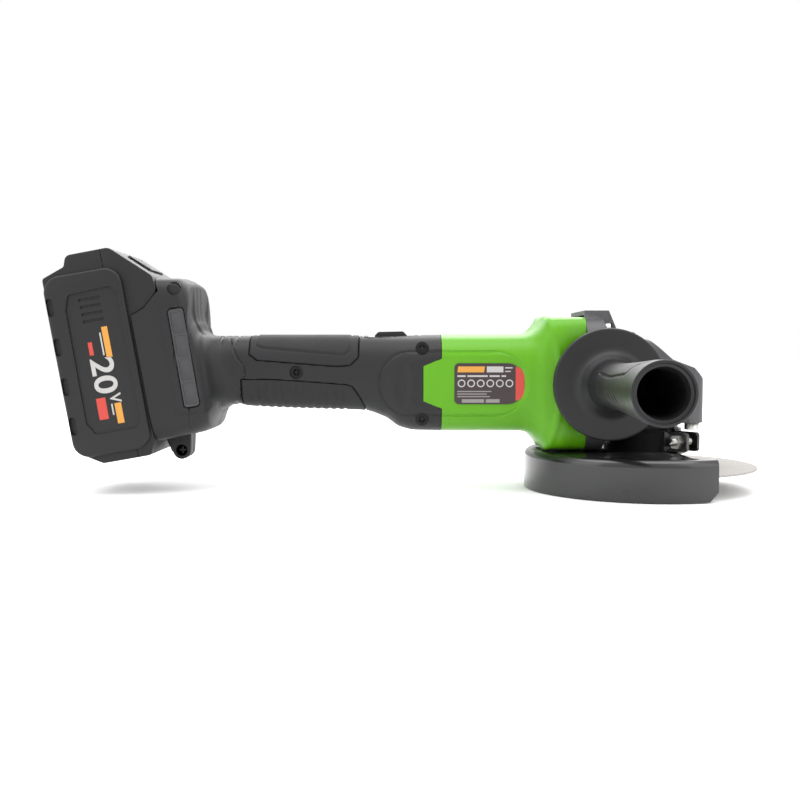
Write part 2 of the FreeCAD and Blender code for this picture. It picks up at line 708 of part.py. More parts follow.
def guard_shell():
    """Top sheet with its rim, and the collar with two clamp ears that is welded to it."""
    top = GUARD_TOP_Z
    edge_x = -GUARD_R * math.cos(math.radians(GUARD_HALF_ANGLE))
    collar_r = NECK_R + BODY_GAP
    band_low, band_top = top - GUARD_T, top + GUARD_BAND_H
    shell = guard_sheet().cut(below_guard_rim())
    front_cut = rounded_block(edge_x - GUARD_FRONT_CUT, edge_x + 5, GUARD_LAND - GUARD_R, GUARD_R - GUARD_LAND,
                              top - 5, top + 2, 5.0)
    hub = rod(collar_r + GUARD_BAND_T + 3, (0, 0, band_low), (0, 0, top))
    shell = shell.cut(front_cut.cut(hub)).fuse(hub)
    shell = shell.fuse(rod(collar_r + GUARD_BAND_T, (0, 0, band_low), (0, 0, band_top)))
    ears = []
    for side in (-1, 1):
        across = side * EAR_APART / 2
        plate = box(NECK_R, EAR_REACH, across - EAR_T / 2, across + EAR_T / 2, top + 0.7, band_top - 0.9)
        tips = [e for e in edges_along(plate, Y_AXIS) if e.CenterOfMass.x > EAR_REACH - 1]
        plate = plate.makeFillet(2.0, tips)
        ears.append(around(plate, EAR_ANGLE))
    shell = shell.fuse(ears)
    half_slot = (EAR_APART - EAR_T) / 2 - 1.0
    slot = box(0, NECK_R + GUARD_BAND_T + 3, -half_slot, half_slot, top + 0.7, band_top + 1)
    shell = shell.cut(around(slot, EAR_ANGLE))
    shell = shell.cut(rod(collar_r, (0, 0, band_low - 1), (0, 0, band_top + 1)))
    mid_z = top + GUARD_BAND_H / 2
    hole = rod(CLAMP_SCREW_R, (CLAMP_SCREW_AT, -EAR_APART, mid_z), (CLAMP_SCREW_AT, EAR_APART, mid_z))
    return shell.cut(around(hole, EAR_ANGLE))


def clamp_screw():
    mid_z = GUARD_TOP_Z + GUARD_BAND_H / 2
    face = EAR_APART / 2 + EAR_T / 2
    piece = screw((CLAMP_SCREW_AT, face, mid_z), (CLAMP_SCREW_AT, -face - 5.5, mid_z), CLAMP_SCREW_R, 3.5, 2.6)
    return around(piece, EAR_ANGLE)


def clamp_nut():
    mid_z = GUARD_TOP_Z + GUARD_BAND_H / 2
    face = -EAR_APART / 2 - EAR_T / 2
    corners = [math.radians(60 * k) for k in range(6)]
    points = [(CLAMP_SCREW_AT + CLAMP_NUT_R * math.cos(a), mid_z + CLAMP_NUT_R * math.sin(a)) for a in corners]
    nut = slab(points, face - 3.2, face)
    nut = nut.cut(rod(CLAMP_SCREW_R, (CLAMP_SCREW_AT, face - 4, mid_z), (CLAMP_SCREW_AT, face, mid_z)))
    return around(nut, EAR_ANGLE)


# ---- Side handle ----
def handle_turned(profile):
    """Turns a (radius, y) profile about the side handle's axis."""
    points = [(HANDLE_X + r, y) for r, y in profile]
    return Part.Face(outline(points, "xy", AXIS_Z)).revolve(Vector(HANDLE_X, 0, AXIS_Z), Y_AXIS, 360)


def side_handle_grip():
    back = -BOSS_Y - BODY_GAP
    front = back - HANDLE_FLANGE_T
    end = back - HANDLE_L
    insert_r = HANDLE_THREAD_R + 3.5
    body = handle_turned([
        (insert_r, back), (HANDLE_FLANGE_R, back), (HANDLE_FLANGE_R, back - 2.0),
        (HANDLE_FLANGE_R - 2.5, front + 0.8), (HANDLE_NECK_R + 3.5, front - 1.0),
        (HANDLE_NECK_R, front - 7.0), (HANDLE_NECK_R, front - 30.0),
        (HANDLE_END_R - 0.8, end + 10.0), (HANDLE_END_R, end + 8.0), (HANDLE_END_R, end + 1.0),
        (HANDLE_END_R - 1.0, end), (HANDLE_BORE_R + 2.6, end), (HANDLE_BORE_R + 2.6, end + 1.6),
        (HANDLE_BORE_R, end + 2.6), (HANDLE_BORE_R, end + HANDLE_BORE_L),
        (0, end + HANDLE_BORE_L), (0, back - 24.0), (insert_r, back - 24.0)])
    return body


def side_handle_insert():
    back = -BOSS_Y - BODY_GAP
    return handle_turned([(HANDLE_THREAD_R, back), (HANDLE_THREAD_R + 3.5, back),
                          (HANDLE_THREAD_R + 3.5, back - 24.0), (HANDLE_THREAD_R, back - 24.0)])


def side_handle_stud():
    back = -BOSS_Y - BODY_GAP
    return rod(HANDLE_THREAD_R - RUNNING, (HANDLE_X, back - 24.0, AXIS_Z),
               (HANDLE_X, -BOSS_Y + HANDLE_THREAD_L - 2.0, AXIS_Z))


# ---- Nose, grip and foot shells ----
def body_stations():
    """Stations from the nose joint back to the foot: x, lowest z, highest z, half width, corner."""
    plate = (AXIS_Z - PLATE_HALF_Z, AXIS_Z + PLATE_HALF_Z, PLATE_HALF_Y, PLATE_CORNER_R)
    barrel = (AXIS_Z - BARREL_HALF_Z, AXIS_Z + BARREL_HALF_Z, BARREL_HALF_Y, BARREL_CORNER_R)
    top = AXIS_Z + GRIP_TOP
    grip_low = AXIS_Z - 15.0
    return [
        (NOSE_X, *plate),
        (NOSE_X - SHOULDER_AT, *plate),
        (NOSE_X - SHOULDER_AT - SHOULDER_L, *barrel),
        (SPLIT_X - 12.0, *barrel),
        (SPLIT_X - 22.5, AXIS_Z - 25.0, top, 26.0, 18.0),
        (SPLIT_X - 31.5, AXIS_Z - 19.3, top, 23.5, 17.0),
        (SPLIT_X - 45.5, grip_low, top, 20.5, GRIP_CORNER_R),
        (SPLIT_X - 64.0, grip_low + 0.5, top, GRIP_HALF_Y, GRIP_CORNER_R),
        (FOOT_X + 6.0, grip_low + 2.0, top, GRIP_HALF_Y + 0.5, GRIP_CORNER_R),
        (FOOT_X - 14.0, grip_low + 2.0, top, GRIP_HALF_Y + 1.5, GRIP_CORNER_R),
    ]


def foot_outline():
    """Side outline of the foot, starting at the top of the battery's rail face."""
    turn = math.radians(TILT)

    def rail_point(u, v):
        return (BATTERY_X + u * math.cos(turn) - v * math.sin(turn),
                BATTERY_Z + u * math.sin(turn) + v * math.cos(turn))

    gap = SLIDE_GAP
    return [
        rail_point(COVER_FACE_U + gap, -46.5), rail_point(COVER_FACE_U + gap, 21.5 - gap),
        rail_point(29.7 + gap, 24.9 - gap), rail_point(38.2 + gap, 32.6 - gap), rail_point(36.7 + gap, 41.2),
        (FOOT_X - 23.0, AXIS_Z + 57.1), (FOOT_X - 15.7, AXIS_Z + 52.6), (FOOT_X - 15.4, AXIS_Z + 39.4),
        (FOOT_X - 11.8, AXIS_Z + 28.7), (FOOT_X - 4.0, AXIS_Z + 26.2), (FOOT_X + 2.0, AXIS_Z + 10.0),
        (FOOT_X + 4.0, AXIS_Z - 12.5), (FOOT_X - 1.7, AXIS_Z - 15.8), (FOOT_X - 5.0, AXIS_Z - 21.5),
        (FOOT_X - 6.2, AXIS_Z - 24.9), (FOOT_X - 20.8, AXIS_Z - 28.8),
    ]


def foot_plan():
    """Plan outline of the foot, narrowing towards the grip."""
    back = BATTERY_X - 5.0
    half, neck = FOOT_HALF_Y, GRIP_HALF_Y
    side = [(back, half), (FOOT_X - 9.0, half), (FOOT_X - 4.0, half - 6.0), (FOOT_X + 1.0, half - 12.0),
            (FOOT_X + 8.0, neck)]
    return side + [(x, -y) for x, y in reversed(side)]


def foot_block(inset=0.0):
    side = slab(foot_outline(), -FOOT_HALF_Y, FOOT_HALF_Y, "xz", -inset)
    plan = slab(foot_plan(), -20.0, AXIS_Z + 90.0, "xy", -inset)
    return side.common(plan)


def foot_lug(half_y):
    """Strap lug under the foot."""
    tip = (FOOT_X - 25.5, AXIS_Z - 38.2)
    plate = slab([(tip[0] - 8.6, AXIS_Z - 31.3), (tip[0] - FOOT_LUG_R, tip[1] - 1.0),
                  (tip[0] + FOOT_LUG_R, tip[1]), (tip[0] + FOOT_LUG_R + 0.8, AXIS_Z - 26.0)],
                 -half_y, half_y)
    lug = plate.fuse(rod(FOOT_LUG_R, (tip[0], -half_y, tip[1]), (tip[0], half_y, tip[1])))
    return lug.cut(tilted(slab(battery_outline(), -BATTERY_HALF_Y, BATTERY_HALF_Y, "xz", SLIDE_GAP)))


def nose_region():
    """Space taken by the green nose: all ahead of the split, and a tongue on each side."""
    ahead = box(SPLIT_X, NOSE_X, -60, 60, AXIS_Z - 60, AXIS_Z + 60)
    tongue = slab([(SPLIT_X, AXIS_Z - TONGUE_ROOT_H), (SPLIT_X - TONGUE_L, AXIS_Z - TONGUE_TIP_H),
                   (SPLIT_X - TONGUE_L, AXIS_Z + TONGUE_TIP_H), (SPLIT_X, AXIS_Z + TONGUE_ROOT_H)],
                  -60, 60)
    return ahead.fuse(tongue)


def side_panels():
    """Sunk flat panel on each side, rounded at both ends, across the split."""
    start, end = SPLIT_X - PANEL_BACK + PANEL_HALF_H, SPLIT_X + PANEL_FRONT - PANEL_HALF_H
    cuts = []
    for side in (-1, 1):
        y0, y1 = side * (BARREL_HALF_Y - PANEL_DEPTH), side * (BARREL_HALF_Y + 8)
        low, high = min(y0, y1), max(y0, y1)
        cut = box(start, end, low, high, AXIS_Z - PANEL_HALF_H, AXIS_Z + PANEL_HALF_H)
        for x in (start, end):
            cut = cut.fuse(rod(PANEL_HALF_H, (x, low, AXIS_Z), (x, high, AXIS_Z)))
        cuts.append(cut)
    return cuts


def name_plate(side):
    """Thin printed plate glued into the sunk panel, rounded like the panel at its front end."""
    face = BARREL_HALF_Y - PANEL_DEPTH
    y0, y1 = sorted((side * face, side * (face + PLATE_LABEL_T)))
    x1 = NOSE_X - LABEL_FROM_NOSE
    plate = rounded_block(x1 - LABEL_L, x1, y0, y1, AXIS_Z - LABEL_H / 2, AXIS_Z + LABEL_H / 2,
                          LABEL_CORNER_R, Y_AXIS)
    round_x = SPLIT_X + PANEL_FRONT - PANEL_HALF_H
    inside = rod(PANEL_HALF_H - LABEL_MARGIN, (round_x, y0, AXIS_Z), (round_x, y1, AXIS_Z))
    inside = inside.fuse(box(x1 - LABEL_L, round_x, y0, y1, AXIS_Z - LABEL_H, AXIS_Z + LABEL_H))
    return plate.common(inside)


def housing_screw_spots():
    """Near-side screws that close the grip: x, z and the skin's half width there."""
    return [
        (SPLIT_X - 10.6, AXIS_Z + 19.3, BARREL_HALF_Y - 3.0),
        (SPLIT_X - 10.6, AXIS_Z - 19.6, BARREL_HALF_Y - 3.0),
        (SPLIT_X - 79.9, AXIS_Z + 6.0, GRIP_HALF_Y),
        (FOOT_X - 23.2, AXIS_Z + 51.3, FOOT_HALF_Y - 2.0),
        (FOOT_X - 25.5, AXIS_Z - 38.2, 6.0),
    ]


def screw_depth(skin):
    """How far out the head's underside sits."""
    return skin - SCREW_SINK - HOUSING_HEAD_H


def housing_screws():
    return Part.makeCompound([
        screw((x, -screw_depth(skin), z), (x, screw_depth(skin) * 0.5, z),
              HOUSING_SCREW_R, HOUSING_HEAD_R, HOUSING_HEAD_H)
        for x, z, skin in housing_screw_spots()])


def filter_cut(side, grow=0.0):
    """Leaning window in the foot's side."""
    mid_x, mid_z = FOOT_X - FILTER_BACK, AXIS_Z + (FILTER_TOP + FILTER_LOW) / 2
    half_l, half_w = (FILTER_TOP - FILTER_LOW) / 2 + grow, FILTER_W / 2 + grow
    y0, y1 = side * (FOOT_HALF_Y - FILTER_T), side * (FOOT_HALF_Y + 1)
    block = rounded_block(-half_w, half_w, min(y0, y1), max(y0, y1), -half_l, half_l, 2.5, Y_AXIS)
    block.rotate(Vector(0, 0, 0), Y_AXIS, -FILTER_LEAN)
    block.translate(Vector(mid_x, 0, mid_z))
    return block


def air_filter_cover(side):
    mid_x, mid_z = FOOT_X - FILTER_BACK, AXIS_Z + (FILTER_TOP + FILTER_LOW) / 2
    outer = side * FOOT_HALF_Y
    half_space = box(mid_x - 50, mid_x + 50, min(0, outer), max(0, outer), AXIS_Z - 100, AXIS_Z + 100)
    plate = filter_cut(side, -FILTER_FIT).common(half_space)
    pitch = (FILTER_TOP - FILTER_LOW - 6) / FILTER_SLOTS
    for index in range(FILTER_SLOTS):
        z = (index - (FILTER_SLOTS - 1) / 2) * pitch
        slot = box(-2.8, 2.8, -60, 60, z - 4.2, z + 4.2)
        slot.rotate(Vector(0, 0, 0), Y_AXIS, -FILTER_LEAN)
        slot.translate(Vector(mid_x, 0, mid_z))
        plate = plate.cut(slot)
    return plate


def switch_opening():
    """Opening in the top of the grip that the switch pad slides in."""
    front = SPLIT_X - SWITCH_FROM_SPLIT + SWITCH_TRAVEL + SLIDE_GAP
    back = SPLIT_X - SWITCH_FROM_SPLIT - SWITCH_PAD_L - SLIDE_GAP
    half = SWITCH_PAD_HALF_Y + SLIDE_GAP
    return box(back, front, -half, half, AXIS_Z + GRIP_TOP - WALL - 3, AXIS_Z + GRIP_TOP + 2)


def pad_region(upper):
    """Side outline of each rubber pad on the grip."""
    front, back = SPLIT_X - 46.0, FOOT_X + 13.0
    if upper:
        points = [(back, AXIS_Z + 40), (back - 1.0, AXIS_Z + 24.5), (back + 6.0, AXIS_Z + 12.5),
                  (front - 6.0, AXIS_Z + 9.5), (front, AXIS_Z + 15.0), (front, AXIS_Z + 40)]
    else:
        points = [(back + 3.0, AXIS_Z - 30), (back + 6.5, AXIS_Z + 1.0), (front - 6.0, AXIS_Z - 1.5),
                  (front + 3.5, AXIS_Z - 12.0), (front + 3.5, AXIS_Z - 30)]
    return slab(points, -60, 60)


def build_shells():
    stations = body_stations()
    outer_barrel, inner_barrel = loft(stations), loft(stations, WALL)
    outer = outer_barrel.fuse(foot_block()).fuse(foot_lug(6.0))
    inner = inner_barrel.fuse(foot_block(WALL))
    skin = outer.cut(inner)
    for panel in side_panels():
        skin = skin.cut(panel)
    nose = skin.common(nose_region())
    grip = skin.cut(nose_region())

    # Rubber pads are set into the grip's wall.
    pad_skin = outer_barrel.cut(loft(stations, PAD_T))
    for name, upper in (("grip_pad_upper", True), ("grip_pad_lower", False)):
        pad = pad_skin.common(pad_region(upper))
        pad = pad.cut(box(FOOT_X - 60, FOOT_X + 7.0, -60, 60, -60, 150))
        keep(name, pad)
        grip = grip.cut(pad)

    # Screw posts join the two halves.
    for x, z, skin_y in housing_screw_spots()[:4]:
        post = rod(HOUSING_SCREW_R + 1.2, (x, -skin_y, z), (x, skin_y, z))
        for side in (-1, 1):
            post = post.fuse(rod(SCREW_RECESS_R + 1.4, (x, side * skin_y, z), (x, side * POST_STEP_Y, z)))
        grip = grip.fuse(post.common(outer))
    for x, z, skin_y in housing_screw_spots():
        depth = screw_depth(skin_y)
        grip = grip.cut(rod(SCREW_RECESS_R, (x, -60, z), (x, -depth, z)))
        grip = grip.cut(rod(HOUSING_SCREW_R, (x, -depth, z), (x, depth * 0.5, z)))
        nose = nose.cut(rod(SCREW_RECESS_R + 1.4, (x, -60, z), (x, 60, z)))
    for side in (-1, 1):
        grip = grip.cut(filter_cut(side))
        behind = filter_cut(side, -2.0)
        behind.translate(Vector(0, -side * FILTER_T, 0))
        grip = grip.cut(behind)
    grip = grip.cut(switch_opening())

    # Rail channel for the battery, open at its top.
    neck = RAIL_NECK_HALF_Y + SLIDE_GAP
    wide = RAIL_HALF_Y + SLIDE_GAP
    face = COVER_FACE_U
    channel = box(face - 1, face + RAIL_NECK_H + 1, -neck, neck, RAIL_LOW_V - SLIDE_GAP, RAIL_TOP_V + 30)
    channel = channel.fuse(box(face + RAIL_NECK_H - SLIDE_GAP, face + RAIL_H + SLIDE_GAP, -wide, wide,
                               RAIL_LOW_V - SLIDE_GAP, RAIL_TOP_V + 30))
    seat = box(face + SLIDE_GAP, face + RAIL_H + SLIDE_GAP + WALL, -wide - WALL, wide + WALL,
               RAIL_LOW_V - SLIDE_GAP - WALL, RAIL_TOP_V)
    grip = grip.fuse(tilted(seat).common(foot_block())).cut(tilted(channel))

    # Corner posts of the nose take the gear case's screws.
    for y, z in case_screw_spots():
        post = rod(CASE_SCREW_R + 3.0, (NOSE_X - 17.0, y, z), (NOSE_X, y, z))
        nose = nose.fuse(post.common(outer_barrel))
        nose = nose.cut(rod(CASE_SCREW_R, (NOSE_X - 17.0, y, z), (NOSE_X, y, z)))
    keep("motor_housing", nose)
    keep("grip_shell_near", grip.common(box(FOOT_X - 90, NOSE_X, -60, 0, -60, 160)))
    keep("grip_shell_far", grip.common(box(FOOT_X - 90, NOSE_X, 0, 60, -60, 160)))


# ---- Motor ----
def motor_pieces():
    boss_back = NOSE_X - BEARING_BOSS_L
    keep("pinion_bearing", bearing(SHAFT_R + RUNNING, FRONT_BEARING_R, (boss_back, 0, AXIS_Z),
                                   (boss_back + FRONT_BEARING_T, 0, AXIS_Z)))
    fan_front = boss_back - 10.0
    fan_back = fan_front - FAN_T
    hub = rod(SHAFT_R + 3.5, (fan_back, 0, AXIS_Z), (fan_front, 0, AXIS_Z))
    disc = rod(FAN_R, (fan_back, 0, AXIS_Z), (fan_back + 1.5, 0, AXIS_Z))
    fan = hub.fuse(disc)
    blade = box(fan_back, fan_front, -0.7, 0.7, AXIS_Z + SHAFT_R + 3.0, AXIS_Z + FAN_R)
    blades = []
    for index in range(FAN_BLADES):
        copy = blade.copy()
        copy.rotate(Vector(0, 0, AXIS_Z), X_AXIS, 360.0 * index / FAN_BLADES)
        blades.append(copy)
    fan = fan.fuse(blades).cut(rod(SHAFT_R, (fan_back, 0, AXIS_Z), (fan_front, 0, AXIS_Z)))
    keep("cooling_fan", fan)
    baffle_front = fan_back - 1.5
    keep("fan_baffle", ring(STATOR_R, BAFFLE_HOLE_R, (baffle_front - BAFFLE_T, 0, AXIS_Z),
                            (baffle_front, 0, AXIS_Z)))

    plate_front = SPLIT_X + END_PLATE_T
    stator_back = plate_front + COIL_OVERHANG + 1.3
    stator_front = baffle_front - BAFFLE_T - COIL_OVERHANG - 0.8
    ring_in = STATOR_R - STATOR_RING_T
    bore = ROTOR_R + ROTOR_GAP
    stator = ring(STATOR_R, ring_in, (stator_back, 0, AXIS_Z), (stator_front, 0, AXIS_Z))
    coils = []
    for index in range(STATOR_TEETH):
        angle = 360.0 * index / STATOR_TEETH
        tooth = box(stator_back, stator_front, -TOOTH_W / 2, TOOTH_W / 2,
                    AXIS_Z + bore - 0.6, AXIS_Z + ring_in + 0.5)
        shoe = ring(bore + 1.8, bore, (stator_back, 0, AXIS_Z), (stator_front, 0, AXIS_Z)).common(
            box(stator_back, stator_front, -4.6, 4.6, AXIS_Z, AXIS_Z + bore + 3))
        coil_half = TOOTH_W / 2 + COIL_T
        coil_top = math.sqrt(ring_in ** 2 - coil_half ** 2) - 0.3
        coil = box(stator_back - COIL_OVERHANG, stator_front + COIL_OVERHANG, -coil_half, coil_half,
                   AXIS_Z + bore + 2.0, AXIS_Z + coil_top)
        coil = coil.cut(box(stator_back, stator_front, -TOOTH_W / 2, TOOTH_W / 2, AXIS_Z, AXIS_Z + STATOR_R))
        for piece in (tooth, shoe, coil):
            piece.rotate(Vector(0, 0, AXIS_Z), X_AXIS, angle)
        stator = stator.fuse([tooth, shoe])
        coils.append(coil)
    stator = stator.cut(rod(bore, (stator_back - 1, 0, AXIS_Z), (stator_front + 1, 0, AXIS_Z)))
    keep("motor_stator", stator)
    keep("stator_coils", Part.makeCompound(coils))

    end_plate = rod(STATOR_R, (SPLIT_X, 0, AXIS_Z), (plate_front, 0, AXIS_Z))
    end_plate = end_plate.fuse(rod(REAR_BEARING_R + 2.2, (SPLIT_X - REAR_BEARING_T, 0, AXIS_Z),
                                   (SPLIT_X, 0, AXIS_Z)))
    end_plate = end_plate.cut(rod(REAR_BEARING_R, (SPLIT_X - REAR_BEARING_T, 0, AXIS_Z), (SPLIT_X, 0, AXIS_Z)))
    end_plate = end_plate.cut(rod(SHAFT_R + 1.5, (SPLIT_X, 0, AXIS_Z), (plate_front, 0, AXIS_Z)))
    vent = rod(3.0, (SPLIT_X, 0, AXIS_Z + 17.0), (plate_front, 0, AXIS_Z + 17.0))
    for index in range(8):
        copy = vent.copy()
        copy.rotate(Vector(0, 0, AXIS_Z), X_AXIS, 45.0 * index)
        end_plate = end_plate.cut(copy)
    keep("motor_end_plate", end_plate)
    keep("rear_bearing", bearing(SHAFT_R + RUNNING, REAR_BEARING_R, (SPLIT_X - REAR_BEARING_T, 0, AXIS_Z),
                                 (SPLIT_X, 0, AXIS_Z)))

    magnet_in = ROTOR_R - MAGNET_T
    rotor = ring(magnet_in, SHAFT_R, (stator_back, 0, AXIS_Z), (stator_front, 0, AXIS_Z))
    keep("rotor_core", rotor)
    magnet_ring = ring(ROTOR_R, magnet_in, (stator_back, 0, AXIS_Z), (stator_front, 0, AXIS_Z))
    magnets = []
    for index in range(4):
        wedge = box(stator_back, stator_front, -7.2, 7.2, AXIS_Z, AXIS_Z + ROTOR_R + 1)
        piece = magnet_ring.common(wedge)
        piece.rotate(Vector(0, 0, AXIS_Z), X_AXIS, 90.0 * index)
        magnets.append(piece)
    keep("rotor_magnets", Part.makeCompound(magnets))
    shaft_front = NOSE_X + FLANGE_PLATE_T
    keep("rotor_shaft", rod(SHAFT_R, (SPLIT_X - REAR_BEARING_T, 0, AXIS_Z), (shaft_front, 0, AXIS_Z)))


# ---- Switch and electronics ----
def switch_pieces():
    top = AXIS_Z + GRIP_TOP
    front = SPLIT_X - SWITCH_FROM_SPLIT
    back = front - SWITCH_PAD_L
    under = top - WALL - SLIDE_GAP
    pad = box(back, front, -SWITCH_PAD_HALF_Y, SWITCH_PAD_HALF_Y, under, top + SWITCH_PROUD)
    pad = pad.makeFillet(1.2, [e for e in pad.Edges if e.CenterOfMass.z > top])
    for index in range(5):
        x = back + SWITCH_PAD_L * (index + 1.5) / 7
        pad = pad.cut(box(x - 0.4, x + 0.4, -4.5, 4.5, top + SWITCH_PROUD - 0.5, top + SWITCH_PROUD + 1))
    plate = box(back - SWITCH_OVERLAP, front + SWITCH_OVERLAP, -SWITCH_PAD_HALF_Y - 2, SWITCH_PAD_HALF_Y + 2,
                under - SWITCH_PLATE_T, under)
    keep("switch_slider", pad.fuse(plate))
    link_low = under - SWITCH_PLATE_T - 3.0
    link = box(back - LINK_L, back + 8, -LINK_W / 2, LINK_W / 2, link_low, link_low + 3.0)
    keep("switch_link", link)
    body_front = back - LINK_L - 1.5
    micro = rounded_block(body_front - 20, body_front, -5.0, 5.0, link_low - 7.0, link_low + 3.5, 1.0, Y_AXIS)
    for x in (body_front - 16, body_front - 4):
        micro = micro.cut(rod(1.3, (x, -5, link_low - 4), (x, 5, link_low - 4)))
    keep("microswitch", micro)
    board_x0, board_x1 = SPLIT_X - 90.0, SPLIT_X - 50.0
    board_low = AXIS_Z - 8.0
    board_top = board_low + BOARD_T
    keep("controller_board", box(board_x0, board_x1, -BOARD_HALF_Y, BOARD_HALF_Y, board_low, board_top))
    chips = [board_x0 + 4 + 11 * k for k in range(3)]
    parts = [box(x, x + 6, -5, 5, board_top, board_top + 3.4) for x in chips]
    parts.append(rod(4.0, (board_x1 - 8, 7, board_top), (board_x1 - 8, 7, board_top + 8.4)))
    keep("controller_parts", Part.makeCompound(parts))


# ---- Battery ----
def battery_outline():
    """Side outline of the pack's core in the battery's own frame."""
    return [(-21.4, -44.0), (-17.0, -CASE_HALF_V), (-7.4, -53.7), (18.6, -53.7), (COVER_FACE_U, -46.5),
            (COVER_FACE_U, 21.5), (29.7, 24.9), (38.2, 32.6), (36.7, 41.2), (16.6, 59.7), (-6.8, 59.4),
            (-8.8, 53.6), (-13.6, 51.9), (-21.4, 49.1)]


def battery_pieces():
    core_half = BATTERY_HALF_Y - CHEEK_T
    core = slab(battery_outline(), -core_half, core_half)
    behind = box(-60, COVER_U, -60, 60, -80, 80)
    inner_v = CELL_ROWS * CELL_PITCH / 2 + 0.3
    inner_u0 = -21.4 + BATTERY_WALL
    inner_u1 = inner_u0 + CELL_COLUMNS * CELL_PITCH + 0.4
    cells_half = CELL_L / 2 + 1.0
    hollow = box(inner_u0, inner_u1, -cells_half, cells_half, -inner_v, inner_v)
    case = core.common(behind).cut(hollow)
    keep("battery_case", tilted(case))

    cover = core.cut(behind).cut(hollow)
    cover = cover.fuse(box(COVER_FACE_U - 1, COVER_FACE_U + RAIL_NECK_H, -RAIL_NECK_HALF_Y, RAIL_NECK_HALF_Y,
                           RAIL_LOW_V, RAIL_TOP_V))
    cover = cover.fuse(box(COVER_FACE_U + RAIL_NECK_H, COVER_FACE_U + RAIL_H, -RAIL_HALF_Y, RAIL_HALF_Y,
                           RAIL_LOW_V, RAIL_TOP_V))
    for index in range(BLADE_COUNT):
        y = (index - (BLADE_COUNT - 1) / 2) * BLADE_PITCH
        cover = cover.cut(box(COVER_FACE_U + 1.0, COVER_FACE_U + RAIL_H, y - 2.0, y + 2.0,
                              RAIL_LOW_V, RAIL_LOW_V + 20))

    # The release button sits in a pocket on the head block's slope.
    slope = math.degrees(math.atan2(59.7 - 41.2, 36.7 - 16.6))
    mid = ((16.6 + 36.7) / 2, (59.7 + 41.2) / 2)

    def on_slope(shape):
        shape = shape.copy()
        shape.rotate(Vector(0, 0, 0), Y_AXIS, slope)
        shape.translate(Vector(mid[0], 0, mid[1]))
        return shape

    half_l, gap = RELEASE_L / 2, BODY_GAP
    depth = RELEASE_TRAVEL + 6.0
    pocket = on_slope(box(-half_l - gap, half_l + gap, -RELEASE_HALF_Y - gap, RELEASE_HALF_Y + gap, -depth, 5))
    cover = cover.cut(pocket)
    keep("battery_cover", tilted(cover))
    button = rounded_block(-half_l, half_l, -RELEASE_HALF_Y, RELEASE_HALF_Y, -3.0, RELEASE_PROUD, 2.0)
    keep("battery_release_button", tilted(on_slope(button)))
    springs = []
    for side in (-1, 1):
        spring = coil_spring(2.2, 0.35, 4, (0, side * 8.0, -depth + 0.5), -3.0 - 0.5)
        springs.append(tilted(on_slope(spring)))
    keep("release_springs", Part.makeCompound(springs))
    latch = box(-2.0, 2.0, -4.5, 4.5, -depth + RELEASE_TRAVEL + 0.4, -3.0)
    keep("battery_latch", tilted(on_slope(latch)))

    cells, strips = [], []
    for row in range(CELL_ROWS):
        v = (row - (CELL_ROWS - 1) / 2) * CELL_PITCH
        for column in range(CELL_COLUMNS):
            u = inner_u0 + 0.2 + (column + 0.5) * CELL_PITCH
            cells.append(tilted(rod(CELL_R, (u, -CELL_L / 2, v), (u, CELL_L / 2, v))))
        for side in (-1, 1):
            y0, y1 = side * CELL_L / 2, side * (CELL_L / 2 + 0.4)
            strips.append(tilted(box(inner_u0 + 4, inner_u1 - 4, min(y0, y1), max(y0, y1), v - 4, v + 4)))
    keep("battery_cells", Part.makeCompound(cells))
    keep("cell_strips", Part.makeCompound(strips))

    contacts = []
    blades = []
    for index in range(BLADE_COUNT):
        y = (index - (BLADE_COUNT - 1) / 2) * BLADE_PITCH
        for side in (-1, 1):
            inner_y = y + side * (BLADE_T / 2 + BODY_GAP)
            outer_y = y + side * 1.6
            contacts.append(tilted(box(COVER_FACE_U + 1.0, COVER_FACE_U + RAIL_H - 1.0, min(inner_y, outer_y),
                                       max(inner_y, outer_y), RAIL_LOW_V + 8, RAIL_LOW_V + 18)))
        blades.append(box(COVER_FACE_U + 2.0, COVER_FACE_U + RAIL_H + SLIDE_GAP,
                          y - BLADE_T / 2, y + BLADE_T / 2, RAIL_LOW_V + 2, RAIL_LOW_V + 12))
    keep("battery_contacts", Part.makeCompound(contacts))
    keep("terminal_blades", Part.makeCompound([tilted(b) for b in blades]))

    for name, side in (("battery_side_near", -1), ("battery_side_far", 1)):
        y0, y1 = side * core_half, side * BATTERY_HALF_Y
        low, high = min(y0, y1), max(y0, y1)
        cheek = rounded_block(-CHEEK_HALF_U, CHEEK_HALF_U, low, high,
                              -CHEEK_HALF_V, CHEEK_HALF_V, CHEEK_R, Y_AXIS)
        sink0, sink1 = side * (BATTERY_HALF_Y - 1.0), side * (BATTERY_HALF_Y + 1.0)
        recess = slab([(-7.5, -37.6), (15.2, -37.7), (17.5, -34.0), (17.5, 35.5), (14.9, 39.1), (-8.4, 38.1),
                       (-11.0, 30.0), (-11.5, -31.0)], min(sink0, sink1), max(sink0, sink1))
        keep(name, tilted(cheek.cut(recess)))


